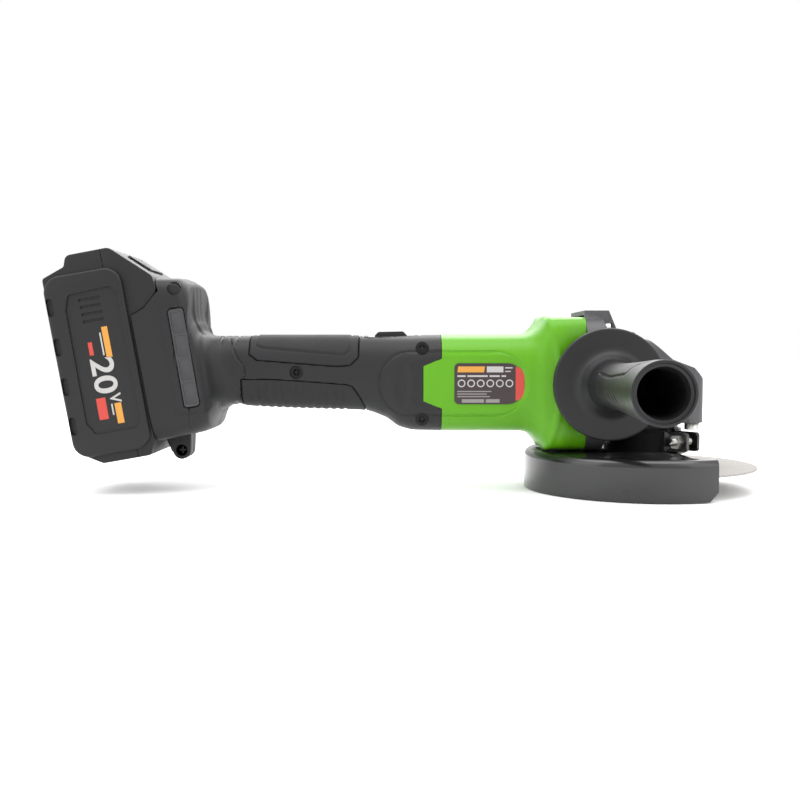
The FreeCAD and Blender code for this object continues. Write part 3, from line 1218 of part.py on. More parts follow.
# ---- All pieces ----
keep("cutting_disc", cutting_disc())
keep("inner_flange", inner_flange())
keep("lock_nut", lock_nut())
keep("spindle", spindle())
keep("spindle_spacer", spindle_spacer())
keep("crown_gear", crown_gear())
keep("pinion_gear", pinion())
keep("lower_bearing", bearing(SPINDLE_R + RUNNING, LOW_BEARING_R, (0, 0, LOW_BEARING_Z),
                              (0, 0, LOW_BEARING_Z + LOW_BEARING_T)))
keep("bearing_retainer", bearing_retainer())
keep("upper_bearing", bearing(SPINDLE_TOP_R + RUNNING, TOP_BEARING_R, (0, 0, TOP_BEARING_Z),
                              (0, 0, TOP_BEARING_Z + TOP_BEARING_T)))
keep("gear_housing", gear_housing())
keep("bearing_cover", bearing_cover())
keep("cover_screws", cover_screws())
keep("gearbox_screws", gearbox_screws())
keep("spindle_lock_button", spindle_lock_button())
keep("spindle_lock_pin", spindle_lock_pin())
keep("spindle_lock_spring", lock_spring())
keep("guard_shell", guard_shell())
keep("guard_skirt", guard_skirt())
keep("guard_clamp_screw", clamp_screw())
keep("guard_clamp_nut", clamp_nut())
keep("side_handle_grip", side_handle_grip())
keep("side_handle_insert", side_handle_insert())
keep("side_handle_stud", side_handle_stud())
build_shells()
motor_pieces()
switch_pieces()
battery_pieces()
keep("air_filter_cover_near", air_filter_cover(-1))
keep("air_filter_cover_far", air_filter_cover(1))
keep("housing_screws", housing_screws())
keep("name_plate_near", name_plate(-1))
keep("name_plate_far", name_plate(1))

os.makedirs("parts", exist_ok=True)
for name, shape in PARTS.items():
    if not shape.isValid():
        print("not valid:", name)
    shape.exportStep("parts/" + name + ".step")
print(len(PARTS), "pieces")
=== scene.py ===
"""Finished looks of a cordless angle grinder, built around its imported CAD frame. Sizes are in millimetres."""
import json
import math

import bmesh
import bpy
import numpy as np
from mathutils import Matrix, Vector


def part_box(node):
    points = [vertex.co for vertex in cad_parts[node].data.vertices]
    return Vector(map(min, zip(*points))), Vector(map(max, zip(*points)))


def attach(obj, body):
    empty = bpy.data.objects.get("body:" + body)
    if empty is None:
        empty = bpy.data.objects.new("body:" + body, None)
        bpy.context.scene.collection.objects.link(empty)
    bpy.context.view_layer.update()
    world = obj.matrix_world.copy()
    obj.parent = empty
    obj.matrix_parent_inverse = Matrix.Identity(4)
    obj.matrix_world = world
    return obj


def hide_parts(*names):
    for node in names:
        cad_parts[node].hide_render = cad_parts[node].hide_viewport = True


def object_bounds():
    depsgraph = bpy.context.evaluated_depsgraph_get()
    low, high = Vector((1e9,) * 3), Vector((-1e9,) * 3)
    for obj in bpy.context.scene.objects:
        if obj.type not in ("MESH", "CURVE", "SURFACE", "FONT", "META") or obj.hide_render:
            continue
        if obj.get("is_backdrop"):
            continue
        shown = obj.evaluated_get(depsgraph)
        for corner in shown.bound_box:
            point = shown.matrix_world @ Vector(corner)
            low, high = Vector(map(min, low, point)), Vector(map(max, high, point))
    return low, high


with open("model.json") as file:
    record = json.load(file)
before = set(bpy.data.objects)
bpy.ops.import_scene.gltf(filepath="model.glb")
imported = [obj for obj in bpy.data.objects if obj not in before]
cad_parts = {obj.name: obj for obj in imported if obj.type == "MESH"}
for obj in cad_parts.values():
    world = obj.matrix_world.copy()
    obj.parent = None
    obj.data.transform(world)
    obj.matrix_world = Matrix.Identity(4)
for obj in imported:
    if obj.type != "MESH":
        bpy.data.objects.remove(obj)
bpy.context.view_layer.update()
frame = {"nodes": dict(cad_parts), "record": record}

bl_info = {
    "name": "Angle grinder looks",
    "version": (1, 0, 0),
    "blender": (4, 5, 0),
    "location": "View3D > Sidebar > Grinder",
    "description": "Builds the shells, grips, guard, battery and finishes of a cordless angle grinder",
    "category": "Object",
}

MM = 0.001


# ---------------------------------------------------------------- places read from the frame
def node_box(node):
    """Lowest and highest corners of a CAD node, in millimetres."""
    low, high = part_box(node)
    return np.array(low) / MM, np.array(high) / MM


NOSE_HIGH = node_box("motor_housing")[1]
GRIP_LOW, GRIP_HIGH = node_box("grip_shell_near")
SHAFT_LOW, SHAFT_HIGH = node_box("rotor_shaft")
HANDLE_LOW, HANDLE_HIGH = node_box("side_handle_grip")
CHEEK_LOW, CHEEK_HIGH = node_box("battery_side_near")
AXIS = float(SHAFT_LOW[2] + SHAFT_HIGH[2]) / 2      # height of the motor shaft
NOSE_X = float(NOSE_HIGH[0])                        # joint of nose and gear head
SPLIT_X = float(GRIP_HIGH[0])                       # joint of nose and grip
FOOT_X = SPLIT_X - 120.4                            # where the grip widens into the foot
HANDLE_X = float(HANDLE_LOW[0] + HANDLE_HIGH[0]) / 2
BATTERY_X = float(CHEEK_LOW[0] + CHEEK_HIGH[0]) / 2
BATTERY_Z = float(CHEEK_LOW[2] + CHEEK_HIGH[2]) / 2
BATTERY_HALF = -float(CHEEK_LOW[1])
TILT = math.radians(10.0)                           # lean of the battery and the foot
CORE_HALF = -float(CHEEK_HIGH[1])


# ---------------------------------------------------------------- what a user may change
class GrinderSizes(bpy.types.PropertyGroup):
    """Sizes that a user may change"""
    skin_step: bpy.props.FloatProperty(
        name="Skin step", description="Spacing of the points on the moulded shells, in mm",
        default=0.55, min=0.3, max=3.0)
    seam_depth: bpy.props.FloatProperty(
        name="Seam depth", description="Depth of the moulded grooves, in mm", default=0.55, min=0.0, max=2.0)
    rib_pitch: bpy.props.FloatProperty(
        name="Rib pitch", description="Spacing of the ribs under the grip, in mm",
        default=4.4, min=2.0, max=10.0)
    floor_size: bpy.props.FloatProperty(
        name="Floor size", description="Width of the floor sweep", default=14.0, unit="LENGTH")


class GrinderColours(bpy.types.PropertyGroup):
    """Colours that a user may change"""
    charcoal: bpy.props.FloatVectorProperty(
        name="Charcoal plastic", description="Grip, foot and battery", subtype="COLOR",
        size=3, default=(0.0125, 0.0125, 0.0135), min=0, max=1)
    green: bpy.props.FloatVectorProperty(
        name="Green plastic", description="Motor housing", subtype="COLOR",
        size=3, default=(0.088, 0.30, 0.004), min=0, max=1)
    handle: bpy.props.FloatVectorProperty(
        name="Handle plastic", description="Side handle", subtype="COLOR",
        size=3, default=(0.0115, 0.0115, 0.0125), min=0, max=1)
    guard: bpy.props.FloatVectorProperty(
        name="Guard coat", description="Powder coat on the guard", subtype="COLOR",
        size=3, default=(0.006, 0.006, 0.0065), min=0, max=1)
    casting: bpy.props.FloatVectorProperty(
        name="Gear head casting", description="Dark die-cast gear head", subtype="COLOR",
        size=3, default=(0.060, 0.060, 0.063), min=0, max=1)
    disc: bpy.props.FloatVectorProperty(
        name="Cutting disc", description="Bonded grit of the disc", subtype="COLOR",
        size=3, default=(0.33, 0.315, 0.30), min=0, max=1)


# ---------------------------------------------------------------- shader maths
FINISHES = {}


class Signal:
    """One socket of a node tree, with Python's operators adding Math nodes."""

    def __init__(self, kit, socket):
        self.kit = kit
        self.socket = socket

    def __add__(self, other):
        return self.kit.math("ADD", self, other)

    def __radd__(self, other):
        return self.kit.math("ADD", other, self)

    def __sub__(self, other):
        return self.kit.math("SUBTRACT", self, other)

    def __rsub__(self, other):
        return self.kit.math("SUBTRACT", other, self)

    def __mul__(self, other):
        return self.kit.math("MULTIPLY", self, other)

    def __rmul__(self, other):
        return self.kit.math("MULTIPLY", other, self)

    def __truediv__(self, other):
        return self.kit.math("DIVIDE", self, other)

    def __rtruediv__(self, other):
        return self.kit.math("DIVIDE", other, self)

    def __pow__(self, other):
        return self.kit.math("POWER", self, other)

    def __rpow__(self, other):
        return self.kit.math("POWER", other, self)


class Finish:
    """A material being written: its node tree, its shader and short ways to add nodes."""

    def __init__(self, name, colour, roughness, **fixed):
        self.material = bpy.data.materials.new(name)
        self.material.use_nodes = True
        self.tree = self.material.node_tree
        self.shader = self.tree.nodes["Principled BSDF"]
        self.shader.inputs["Base Color"].default_value = (*colour, 1.0)
        self.shader.inputs["Roughness"].default_value = roughness
        for key, value in fixed.items():
            label = key.replace("_", " ").title().replace("Ior", "IOR")
            self.shader.inputs[label].default_value = value
        self.material.diffuse_color = (*colour, 1.0)
        FINISHES[name] = self.material

    def node(self, kind, settings=None, inputs=None, output=0):
        """Adds a node: settings first, then the values or links of its sockets."""
        made = self.tree.nodes.new(kind)
        for key, value in (settings or {}).items():
            setattr(made, key, value)
        for key, value in (inputs or {}).items():
            self.feed(made.inputs[key], value)
        return Signal(self, made.outputs[output])

    def feed(self, socket, value):
        """Links a signal to a socket, or sets the socket to a plain value."""
        if isinstance(value, Signal):
            self.tree.links.new(value.socket, socket)
        else:
            socket.default_value = value

    def math(self, operation, first, second):
        """One Math node on signals or numbers."""
        return self.node("ShaderNodeMath", {"operation": operation}, {0: first, 1: second})

    def place(self, scale=(1, 1, 1)):
        """Object coordinates, scaled."""
        spot = self.node("ShaderNodeTexCoord", output="Object")
        return self.node("ShaderNodeMapping", {}, {"Vector": spot, "Scale": scale})

    def noise(self, scale, detail=3.0, rough=0.5, place=None):
        """Noise whose scale is in features per metre."""
        return self.node("ShaderNodeTexNoise", {}, {
            "Vector": place or self.place(), "Scale": scale, "Detail": detail, "Roughness": rough})

    def cells(self, scale):
        """Cell pattern whose scale is in cells per metre."""
        return self.node("ShaderNodeTexVoronoi", {}, {"Vector": self.place(), "Scale": scale})

    def mix(self, factor, first, second):
        """Blend of two colours."""
        node = self.tree.nodes.new("ShaderNodeMix")
        node.data_type = "RGBA"
        self.feed(node.inputs["Factor"], factor)
        for key, value in (("A", first), ("B", second)):
            socket = [s for s in node.inputs if s.name == key and s.type == "RGBA"][0]
            self.feed(socket, value if isinstance(value, Signal) else (*value[:3], 1.0))
        return Signal(self, [s for s in node.outputs if s.type == "RGBA"][0])

    def between(self, value, low, high):
        """Rescales 0..1 to a range."""
        return value * (high - low) + low

    def colour(self, value):
        """Feeds the base colour."""
        self.feed(self.shader.inputs["Base Color"], value)

    def roughness(self, value):
        """Feeds the roughness."""
        self.feed(self.shader.inputs["Roughness"], value)

    def bump(self, height, strength, distance_mm):
        """Fine relief, its full height given in millimetres."""
        bumped = self.node("ShaderNodeBump", {}, {
            "Height": height, "Strength": strength, "Distance": distance_mm * MM})
        self.feed(self.shader.inputs["Normal"], bumped)


def shaded(colour, share):
    """A colour made darker or lighter."""
    return tuple(min(c * share, 1) for c in colour)


def moulded_plastic(name, colour, roughness, grain=2600.0, depth=0.014):
    """Spark-eroded texture: fine pits, slow change of gloss and a faint change of shade."""
    f = Finish(name, colour, roughness, specular_ior_level=0.3)
    grain_noise = f.noise(grain, 2.0, 0.6)
    broad = f.noise(14.0, 2.0)
    f.colour(f.mix(broad * 0.6 + grain_noise * 0.4, shaded(colour, 0.86), shaded(colour, 1.12)))
    f.roughness(f.between(broad, roughness - 0.06, roughness + 0.06) + (grain_noise - 0.5) * 0.12)
    f.bump(grain_noise, 0.55, depth)


def rubber(name, colour):
    """Soft moulding with fine pits and dust."""
    f = Finish(name, colour, 0.62, specular_ior_level=0.3)
    pits = f.cells(2200.0)
    dust = f.noise(60.0, 4.0, 0.65)
    f.colour(f.mix(dust, shaded(colour, 0.8), shaded(colour, 1.35)))
    f.roughness(f.between(dust, 0.55, 0.75))
    f.bump(pits, 0.3, 0.02)


def powder_coat(name, colour):
    """Gloss powder coat with orange peel."""
    f = Finish(name, colour, 0.2, coat_weight=0.35, coat_roughness=0.08)
    peel = f.noise(900.0, 2.0, 0.4)
    haze = f.noise(45.0, 3.0, 0.6)
    f.roughness(f.between(haze, 0.16, 0.34))
    f.colour(f.mix(haze, colour, shaded(colour, 1.7)))
    f.bump(peel, 0.22, 0.05)


def casting(name, colour):
    """Painted die casting: fine grain, a little shine."""
    f = Finish(name, colour, 0.45, metallic=0.35)
    grain = f.noise(1700.0, 3.0, 0.65)
    broad = f.noise(35.0, 3.0)
    f.colour(f.mix(broad, shaded(colour, 0.8), shaded(colour, 1.6)))
    f.roughness(f.between(grain, 0.34, 0.58))
    f.bump(grain, 0.6, 0.08)


def turned_metal(name, colour, roughness, metallic=1.0, grain=(1, 1, 14)):
    """Machined or plated metal with fine directional lines."""
    f = Finish(name, colour, roughness, metallic=metallic)
    lines = f.noise(700.0, 2.0, 0.5, f.place(grain))
    stain = f.noise(70.0, 3.0, 0.6)
    f.colour(f.mix(stain, shaded(colour, 0.78), colour))
    f.roughness(f.between(lines, roughness * 0.7, min(roughness * 1.45, 1)))
    f.bump(lines, 0.15, 0.02)


def bonded_grit(name, colour):
    """Abrasive grit in resin over a woven glass net."""
    f = Finish(name, colour, 0.8, specular_ior_level=0.3)
    grit = f.cells(2600.0)
    coarse = f.noise(900.0, 3.0, 0.7)
    weave = [f.node("ShaderNodeTexWave", {"wave_type": "BANDS", "bands_direction": way},
                    {"Vector": f.place(), "Scale": 85.0, "Distortion": 0.4, "Detail": 1.0})
             for way in ("X", "Y")]
    net = f.math("MAXIMUM", weave[0], weave[1])
    shade = f.mix(coarse, shaded(colour, 0.62), shaded(colour, 1.25))
    f.colour(f.mix(f.between(net, 0.0, 0.16), shade, (0.75, 0.72, 0.66)))
    f.roughness(f.between(coarse, 0.65, 0.95))
    f.bump(grit * 0.6 + net * 0.8, 0.7, 0.12)


def printed(name, colour, roughness=0.4):
    """Ink or label film."""
    f = Finish(name, colour, roughness)
    speck = f.noise(1800.0, 2.0)
    f.colour(f.mix(speck, shaded(colour, 0.9), colour))
    f.roughness(f.between(speck, roughness - 0.08, roughness + 0.08))


def make_finishes(colours):
    """Every material of the tool, under the name of its slot or its ink."""
    moulded_plastic("charcoal_plastic", colours.charcoal[:], 0.5)
    moulded_plastic("battery_plastic", shaded(colours.charcoal, 0.93), 0.47)
    moulded_plastic("battery_panel", shaded(colours.charcoal, 1.05), 0.42, 3000.0, 0.012)
    moulded_plastic("handle_plastic", shaded(colours.handle, 1.2), 0.4)
    moulded_plastic("green_plastic", colours.green[:], 0.36, 1500.0, 0.008)
    moulded_plastic("fan_plastic", (0.03, 0.03, 0.03), 0.5)
    moulded_plastic("filter_mesh", (0.045, 0.045, 0.048), 0.32)
    moulded_plastic("circuit_board", (0.02, 0.12, 0.04), 0.35)
    moulded_plastic("cell_wrap", (0.04, 0.16, 0.42), 0.3)
    rubber("grip_rubber", shaded(colours.charcoal, 1.05))
    powder_coat("guard_steel", colours.guard[:])
    casting("cast_aluminium", colours.casting[:])
    casting("magnet_black", (0.05, 0.05, 0.055))
    casting("lamination_steel", (0.16, 0.16, 0.17))
    turned_metal("plated_steel", (0.62, 0.61, 0.58), 0.3)
    turned_metal("black_steel", (0.014, 0.014, 0.015), 0.3, 0.7)
    turned_metal("gear_steel", (0.42, 0.42, 0.43), 0.28)
    turned_metal("bearing_steel", (0.72, 0.72, 0.74), 0.16)
    turned_metal("copper_winding", (0.62, 0.22, 0.08), 0.35)
    turned_metal("brass", (0.72, 0.5, 0.2), 0.28)
    bonded_grit("disc_abrasive", colours.disc[:])
    printed("label_dark", (0.03, 0.016, 0.018), 0.35)
    printed("label_red", (0.50, 0.045, 0.03), 0.35)
    printed("label_white", (0.42, 0.41, 0.40), 0.4)
    printed("label_grey", (0.22, 0.21, 0.20), 0.4)
    printed("label_orange", (0.58, 0.26, 0.035), 0.4)


# ---------------------------------------------------------------- mesh helpers
def new_object(name, verts, faces):
    """Object from points in millimetres."""
    mesh = bpy.data.meshes.new(name)
    mesh.from_pydata([tuple(v) for v in np.asarray(verts, float) * MM], [], [tuple(f) for f in faces])
    mesh.update()
    made = bpy.data.objects.new(name, mesh)
    bpy.context.collection.objects.link(made)
    return made


def tidy_normals(made):
    """Merges doubles and turns every face outwards."""
    bm = bmesh.new()
    bm.from_mesh(made.data)
    bmesh.ops.remove_doubles(bm, verts=bm.verts, dist=1e-6)
    bmesh.ops.recalc_face_normals(bm, faces=bm.faces)
    bm.to_mesh(made.data)
    bm.free()
    return made


def smooth(made, angle=35.0):
    """Smooth shading with creases sharper than an angle kept."""
    made.data.shade_smooth()
    made.data.set_sharp_from_angle(angle=math.radians(angle))
    return made


def apply_modifiers(made):
    """Turns the modified shape into the object's plain mesh."""
    bpy.context.view_layer.update()
    graph = bpy.context.evaluated_depsgraph_get()
    mesh = bpy.data.meshes.new_from_object(made.evaluated_get(graph))
    old = made.data
    made.modifiers.clear()
    made.data = mesh
    mesh.name = old.name
    bpy.data.meshes.remove(old)
    return made


def bevel(made, width, segments=3, angle=30.0):
    """Rounds the edges sharper than an angle."""
    step = made.modifiers.new("bevel", "BEVEL")
    step.width = width * MM
    step.segments = segments
    step.limit_method = "ANGLE"
    step.angle_limit = math.radians(angle)
    return apply_modifiers(made)


def boolean(made, cutter, operation="DIFFERENCE"):
    """Cuts or joins with another object, which is used up."""
    step = made.modifiers.new("cut", "BOOLEAN")
    step.operation = operation
    step.object = cutter
    step.solver = "EXACT"
    apply_modifiers(made)
    bpy.data.objects.remove(cutter, do_unlink=True)
    return made


def joined(pieces, name):
    """Several objects as one."""
    verts, faces = [], []
    for piece in pieces:
        base = len(verts)
        verts += [v.co / MM for v in piece.data.vertices]
        faces += [[base + i for i in p.vertices] for p in piece.data.polygons]
        bpy.data.objects.remove(piece, do_unlink=True)
    return new_object(name, [tuple(v) for v in verts], faces)


def prism(name, points, low, high, axis="y"):
    """Closed prism: an outline in the plane across an axis, pushed from low to high."""
    orders = {"y": lambda a, b, c: (a, c, b), "z": lambda a, b, c: (a, b, c), "x": lambda a, b, c: (c, a, b)}
    order = orders[axis]
    count = len(points)
    verts = [order(a, b, low) for a, b in points] + [order(a, b, high) for a, b in points]
    faces = [list(range(count)), [count + i for i in range(count)][::-1]]
    faces += [[i, (i + 1) % count, count + (i + 1) % count, count + i][::-1] for i in range(count)]
    return tidy_normals(new_object(name, verts, faces))


def rounded_corners(points, radius, steps=6):
    """Outline with its corners rounded; radius is one value or one for each corner."""
    radii = radius if isinstance(radius, (list, tuple)) else [radius] * len(points)
    result = []
    for index, point in enumerate(points):
        here = np.array(point, float)
        before = np.array(points[index - 1], float) - here
        after = np.array(points[(index + 1) % len(points)], float) - here
        len_before, len_after = np.linalg.norm(before), np.linalg.norm(after)
        before, after = before / len_before, after / len_after
        half = math.acos(max(-1, min(1, float(before @ after)))) / 2
        reach = min(radii[index] / math.tan(half), 0.49 * len_before, 0.49 * len_after)
        if reach < 1e-3:
            result.append(tuple(here))
            continue
        size = reach * math.tan(half)
        centre = here + (before + after) / np.linalg.norm(before + after) * size / math.sin(half)
        start, end = here + before * reach - centre, here + after * reach - centre
        turn = math.atan2(start[0] * end[1] - start[1] * end[0], float(start @ end))
        for k in range(steps + 1):
            angle = turn * k / steps
            c, s = math.cos(angle), math.sin(angle)
            result.append((centre[0] + c * start[0] - s * start[1], centre[1] + s * start[0] + c * start[1]))
    return result


def rectangle(left, low, right, high):
    """Outline of four corners."""
    return [(left, low), (right, low), (right, high), (left, high)]


def block(name, low, high, radius=0.0, axis="y"):
    """Block with the four edges along one axis rounded."""
    pick = {"y": (0, 2, 1), "z": (0, 1, 2), "x": (1, 2, 0)}[axis]
    a, b, c = pick
    points = rectangle(low[a], low[b], high[a], high[b])
    if radius:
        points = rounded_corners(points, radius)
    return prism(name, points, low[c], high[c], axis)


def drum(name, radius, start, end, sides=48):
    """Cylinder between two points."""
    start, end = Vector(start), Vector(end)
    turn = (end - start).to_track_quat("Z", "Y").to_matrix()
    angles = [2 * math.pi * k / sides for k in range(sides)]
    ring = [turn @ Vector((radius * math.cos(a), radius * math.sin(a), 0)) for a in angles]
    verts = [start + v for v in ring] + [end + v for v in ring]
    faces = [list(range(sides))[::-1], [sides + k for k in range(sides)]]
    faces += [[k, (k + 1) % sides, sides + (k + 1) % sides, sides + k] for k in range(sides)]
    return tidy_normals(new_object(name, verts, faces))


def moved(made, matrix):
    """Bakes a move into the mesh."""
    made.data.transform(matrix)
    made.data.update()
    return made


def lathe(name, profile, centre, axis="z", sides=96):
    """Closed ring turned from a (radius, height) profile loop; points on the axis close to a pole."""
    count = len(profile)
    verts, faces = [], []
    for k in range(sides):
        angle = 2 * math.pi * k / sides
        for r, h in profile:
            a, b = r * math.cos(angle), r * math.sin(angle)
            spot = {"z": (a, b, h), "y": (a, h, b), "x": (h, a, b)}[axis]
            verts.append((centre[0] + spot[0], centre[1] + spot[1], centre[2] + spot[2]))
    for k in range(sides):
        for i in range(count):
            j = (i + 1) % count
            n = (k + 1) % sides
            faces.append([k * count + i, k * count + j, n * count + j, n * count + i])
    made = new_object(name, verts, faces)
    bm = bmesh.new()
    bm.from_mesh(made.data)
    bmesh.ops.remove_doubles(bm, verts=bm.verts, dist=1e-6)
    bmesh.ops.dissolve_degenerate(bm, edges=bm.edges, dist=1e-7)
    bmesh.ops.recalc_face_normals(bm, faces=bm.faces)
    bm.to_mesh(made.data)
    bm.free()
    return made


def tilted(made):
    """Moves a piece from the battery's own frame to its place."""
    turn = Matrix.Rotation(-TILT, 4, "Y")
    place = Matrix.Translation((BATTERY_X * MM, 0, BATTERY_Z * MM))
    return moved(made, place @ turn)


def done(made, body, slot, *nodes, finish=None):
    """Gives a piece its finish and its body, and hides the CAD nodes it stands for."""
    made.data.materials.clear()
    made.data.materials.append(FINISHES[finish or slot])
    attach(made, body)
    if nodes:
        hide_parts(*nodes)
    return made


def row_of(piece, name, material, count, step, start=(0, 0, 0)):
    """Repeats a piece along a line with Geometry Nodes and returns one plain mesh object."""
    tree = bpy.data.node_groups.new(name + "_row", "GeometryNodeTree")
    face = tree.interface
    face.new_socket("Geometry", in_out="INPUT", socket_type="NodeSocketGeometry")
    for label, kind, value in (("Count", "NodeSocketInt", count), ("Start", "NodeSocketVector", start),
                               ("Step", "NodeSocketVector", step)):
        socket = face.new_socket(label, in_out="INPUT", socket_type=kind)
        socket.default_value = value if label == "Count" else tuple(c * MM for c in value)
    face.new_socket("Geometry", in_out="OUTPUT", socket_type="NodeSocketGeometry")
    nodes, link = tree.nodes, tree.links.new
    enter, leave = nodes.new("NodeGroupInput"), nodes.new("NodeGroupOutput")
    line = nodes.new("GeometryNodeMeshLine")
    link(enter.outputs["Count"], line.inputs["Count"])
    link(enter.outputs["Start"], line.inputs["Start Location"])
    link(enter.outputs["Step"], line.inputs["Offset"])
    spread = nodes.new("GeometryNodeInstanceOnPoints")
    link(line.outputs["Mesh"], spread.inputs["Points"])
    link(enter.outputs["Geometry"], spread.inputs["Instance"])
    real = nodes.new("GeometryNodeRealizeInstances")
    link(spread.outputs["Instances"], real.inputs["Geometry"])
    paint = nodes.new("GeometryNodeSetMaterial")
    paint.inputs["Material"].default_value = FINISHES[material]
    link(real.outputs["Geometry"], paint.inputs["Geometry"])
    link(paint.outputs["Geometry"], leave.inputs["Geometry"])
    modifier = piece.modifiers.new("row", "NODES")
    modifier.node_group = tree
    names = {s.name: s.identifier for s in face.items_tree if s.in_out == "INPUT"}
    modifier[names["Count"]] = count
    modifier[names["Start"]] = tuple(c * MM for c in start)
    modifier[names["Step"]] = tuple(c * MM for c in step)
    piece.name = name
    return apply_modifiers(piece)


# ---------------------------------------------------------------- smooth curves and grooves on the skin
def curve(points):
    """Smooth curve through points that never overshoots them, as a function of x."""
    xs, ys = np.array(sorted(points), float).T
    gaps = np.diff(xs)
    slopes = np.diff(ys) / gaps
    tangents = np.zeros_like(ys)
    tangents[0], tangents[-1] = slopes[0], slopes[-1]
    for i in range(1, len(xs) - 1):
        if slopes[i - 1] * slopes[i] > 0:
            w1, w2 = 2 * gaps[i] + gaps[i - 1], gaps[i] + 2 * gaps[i - 1]
            tangents[i] = (w1 + w2) / (w1 / slopes[i - 1] + w2 / slopes[i])

    def value(x):
        x = np.clip(x, xs[0], xs[-1])
        i = np.clip(np.searchsorted(xs, x, "right") - 1, 0, len(gaps) - 1)
        h, t = gaps[i], (x - xs[i]) / gaps[i]
        return ((1 + 2 * t) * (1 - t) ** 2 * ys[i] + t * (1 - t) ** 2 * h * tangents[i]
                + t * t * (3 - 2 * t) * ys[i + 1] - t * t * (1 - t) * h * tangents[i + 1])
    return value


def ease(low, high, value):
    """Smooth step from 0 at low to 1 at high."""
    t = np.clip((value - low) / (high - low), 0, 1)
    return t * t * (3 - 2 * t)


def from_line(x, z, points):
    """Distance from each spot to an open line of points."""
    best = np.full(np.shape(x), 1e9)
    for (ax, az), (bx, bz) in zip(points[:-1], points[1:]):
        dx, dz = bx - ax, bz - az
        t = np.clip(((x - ax) * dx + (z - az) * dz) / (dx * dx + dz * dz), 0, 1)
        best = np.minimum(best, np.hypot(x - ax - t * dx, z - az - t * dz))
    return best


def from_area(x, z, points):
    """Signed distance to a closed outline, negative inside."""
    inside = np.zeros(np.shape(x), bool)
    for (ax, az), (bx, bz) in zip(points, points[1:] + points[:1]):
        crosses = (az > z) != (bz > z)
        inside ^= crosses & (x < (bx - ax) * (z - az) / (bz - az if bz != az else 1e-9) + ax)
    far = from_line(x, z, points + points[:1])
    return np.where(inside, -far, far)


def capsule(x, z, ax, bx, radius):
    """Signed distance to a lying capsule between two x places on the shaft's height."""
    return np.hypot(x - np.clip(x, ax, bx), z - AXIS) - radius


class Skin:
    """Outside of a moulded shell: rounded sections standing across X, each from bottom to top on one side."""

    def __init__(self, top, bottom, half, power, lean=0.0):
        self.lean = lean
        self.top, self.bottom, self.half, self.power = curve(top), curve(bottom), curve(half), curve(power)

    def spot(self, x, turn, inset=0.0):
        """Place on the near side; turn runs from -pi/2 at the bottom to pi/2 at the top."""
        high, low = self.top(x) - inset, self.bottom(x) + inset
        n = 2 / self.power(x)
        cos, sin = np.cos(turn), np.sin(turn)
        z = (high + low) / 2 + (high - low) / 2 * np.sign(sin) * np.abs(sin) ** n
        across = x + self.lean * (z - AXIS) * (1 - ease(FOOT_X + 2.0, FOOT_X + 14.0, x))
        y = -(self.half(across) - inset) * np.abs(cos) ** n
        return np.stack([x, y, z], -1)

    def rows(self, x, count, low=0.0, high=1.0, inset=0.0):
        """Evenly spaced turns between two shares of each section's length."""
        fine = np.linspace(-math.pi / 2, math.pi / 2, 721)
        turns = np.empty((len(x), count))
        for i, place in enumerate(x):
            at = self.spot(np.full(721, place), fine, inset)
            run = np.concatenate([[0], np.cumsum(np.linalg.norm(np.diff(at, axis=0), axis=1))])
            run /= run[-1]
            a = low[i] if np.ndim(low) else low
            b = high[i] if np.ndim(high) else high
            turns[i] = np.interp(np.linspace(a, b, count), run, fine)
        return turns

    def share_at(self, x, z):
        """Share of the section's length where it passes a height, for each x."""
        fine = np.linspace(-math.pi / 2, math.pi / 2, 721)
        result = np.empty(len(x))
        for i, place in enumerate(x):
            at = self.spot(np.full(721, place), fine)
            run = np.concatenate([[0], np.cumsum(np.linalg.norm(np.diff(at, axis=0), axis=1))])
            result[i] = np.interp(z[i], at[:, 2], run / run[-1])
        return result


def push_out(grid, height):
    """Moves a grid of places along its normals."""
    along = np.gradient(grid, axis=0)
    across = np.gradient(grid, axis=1)
    normal = np.cross(along, across)
    normal /= np.linalg.norm(normal, axis=-1, keepdims=True) + 1e-12
    centre = np.stack([grid[..., 0], np.zeros(grid.shape[:2]), np.full(grid.shape[:2], AXIS)], -1)
    facing = np.sign(np.sum(normal * (grid - centre), -1, keepdims=True).mean())
    return grid + normal * facing * height[..., None]


def closed_half(name, grid):
    """Solid half: a skin grid from bottom edge to top edge, closed by the flat middle and both ends."""
    nx, ny = grid.shape[:2]
    grid[:, 0, 1] = 0.0
    grid[:, -1, 1] = 0.0
    verts = grid.reshape(-1, 3)

    def corner(i, j):
        return i * ny + j

    faces = [[corner(i, j), corner(i + 1, j), corner(i + 1, j + 1), corner(i, j + 1)]
             for i in range(nx - 1) for j in range(ny - 1)]
    faces += [[corner(i, 0), corner(i, ny - 1), corner(i + 1, ny - 1), corner(i + 1, 0)]
              for i in range(nx - 1)]
    faces.append([corner(0, j) for j in range(ny)])
    faces.append([corner(nx - 1, j) for j in range(ny)][::-1])
    return tidy_normals(new_object(name, verts, faces))


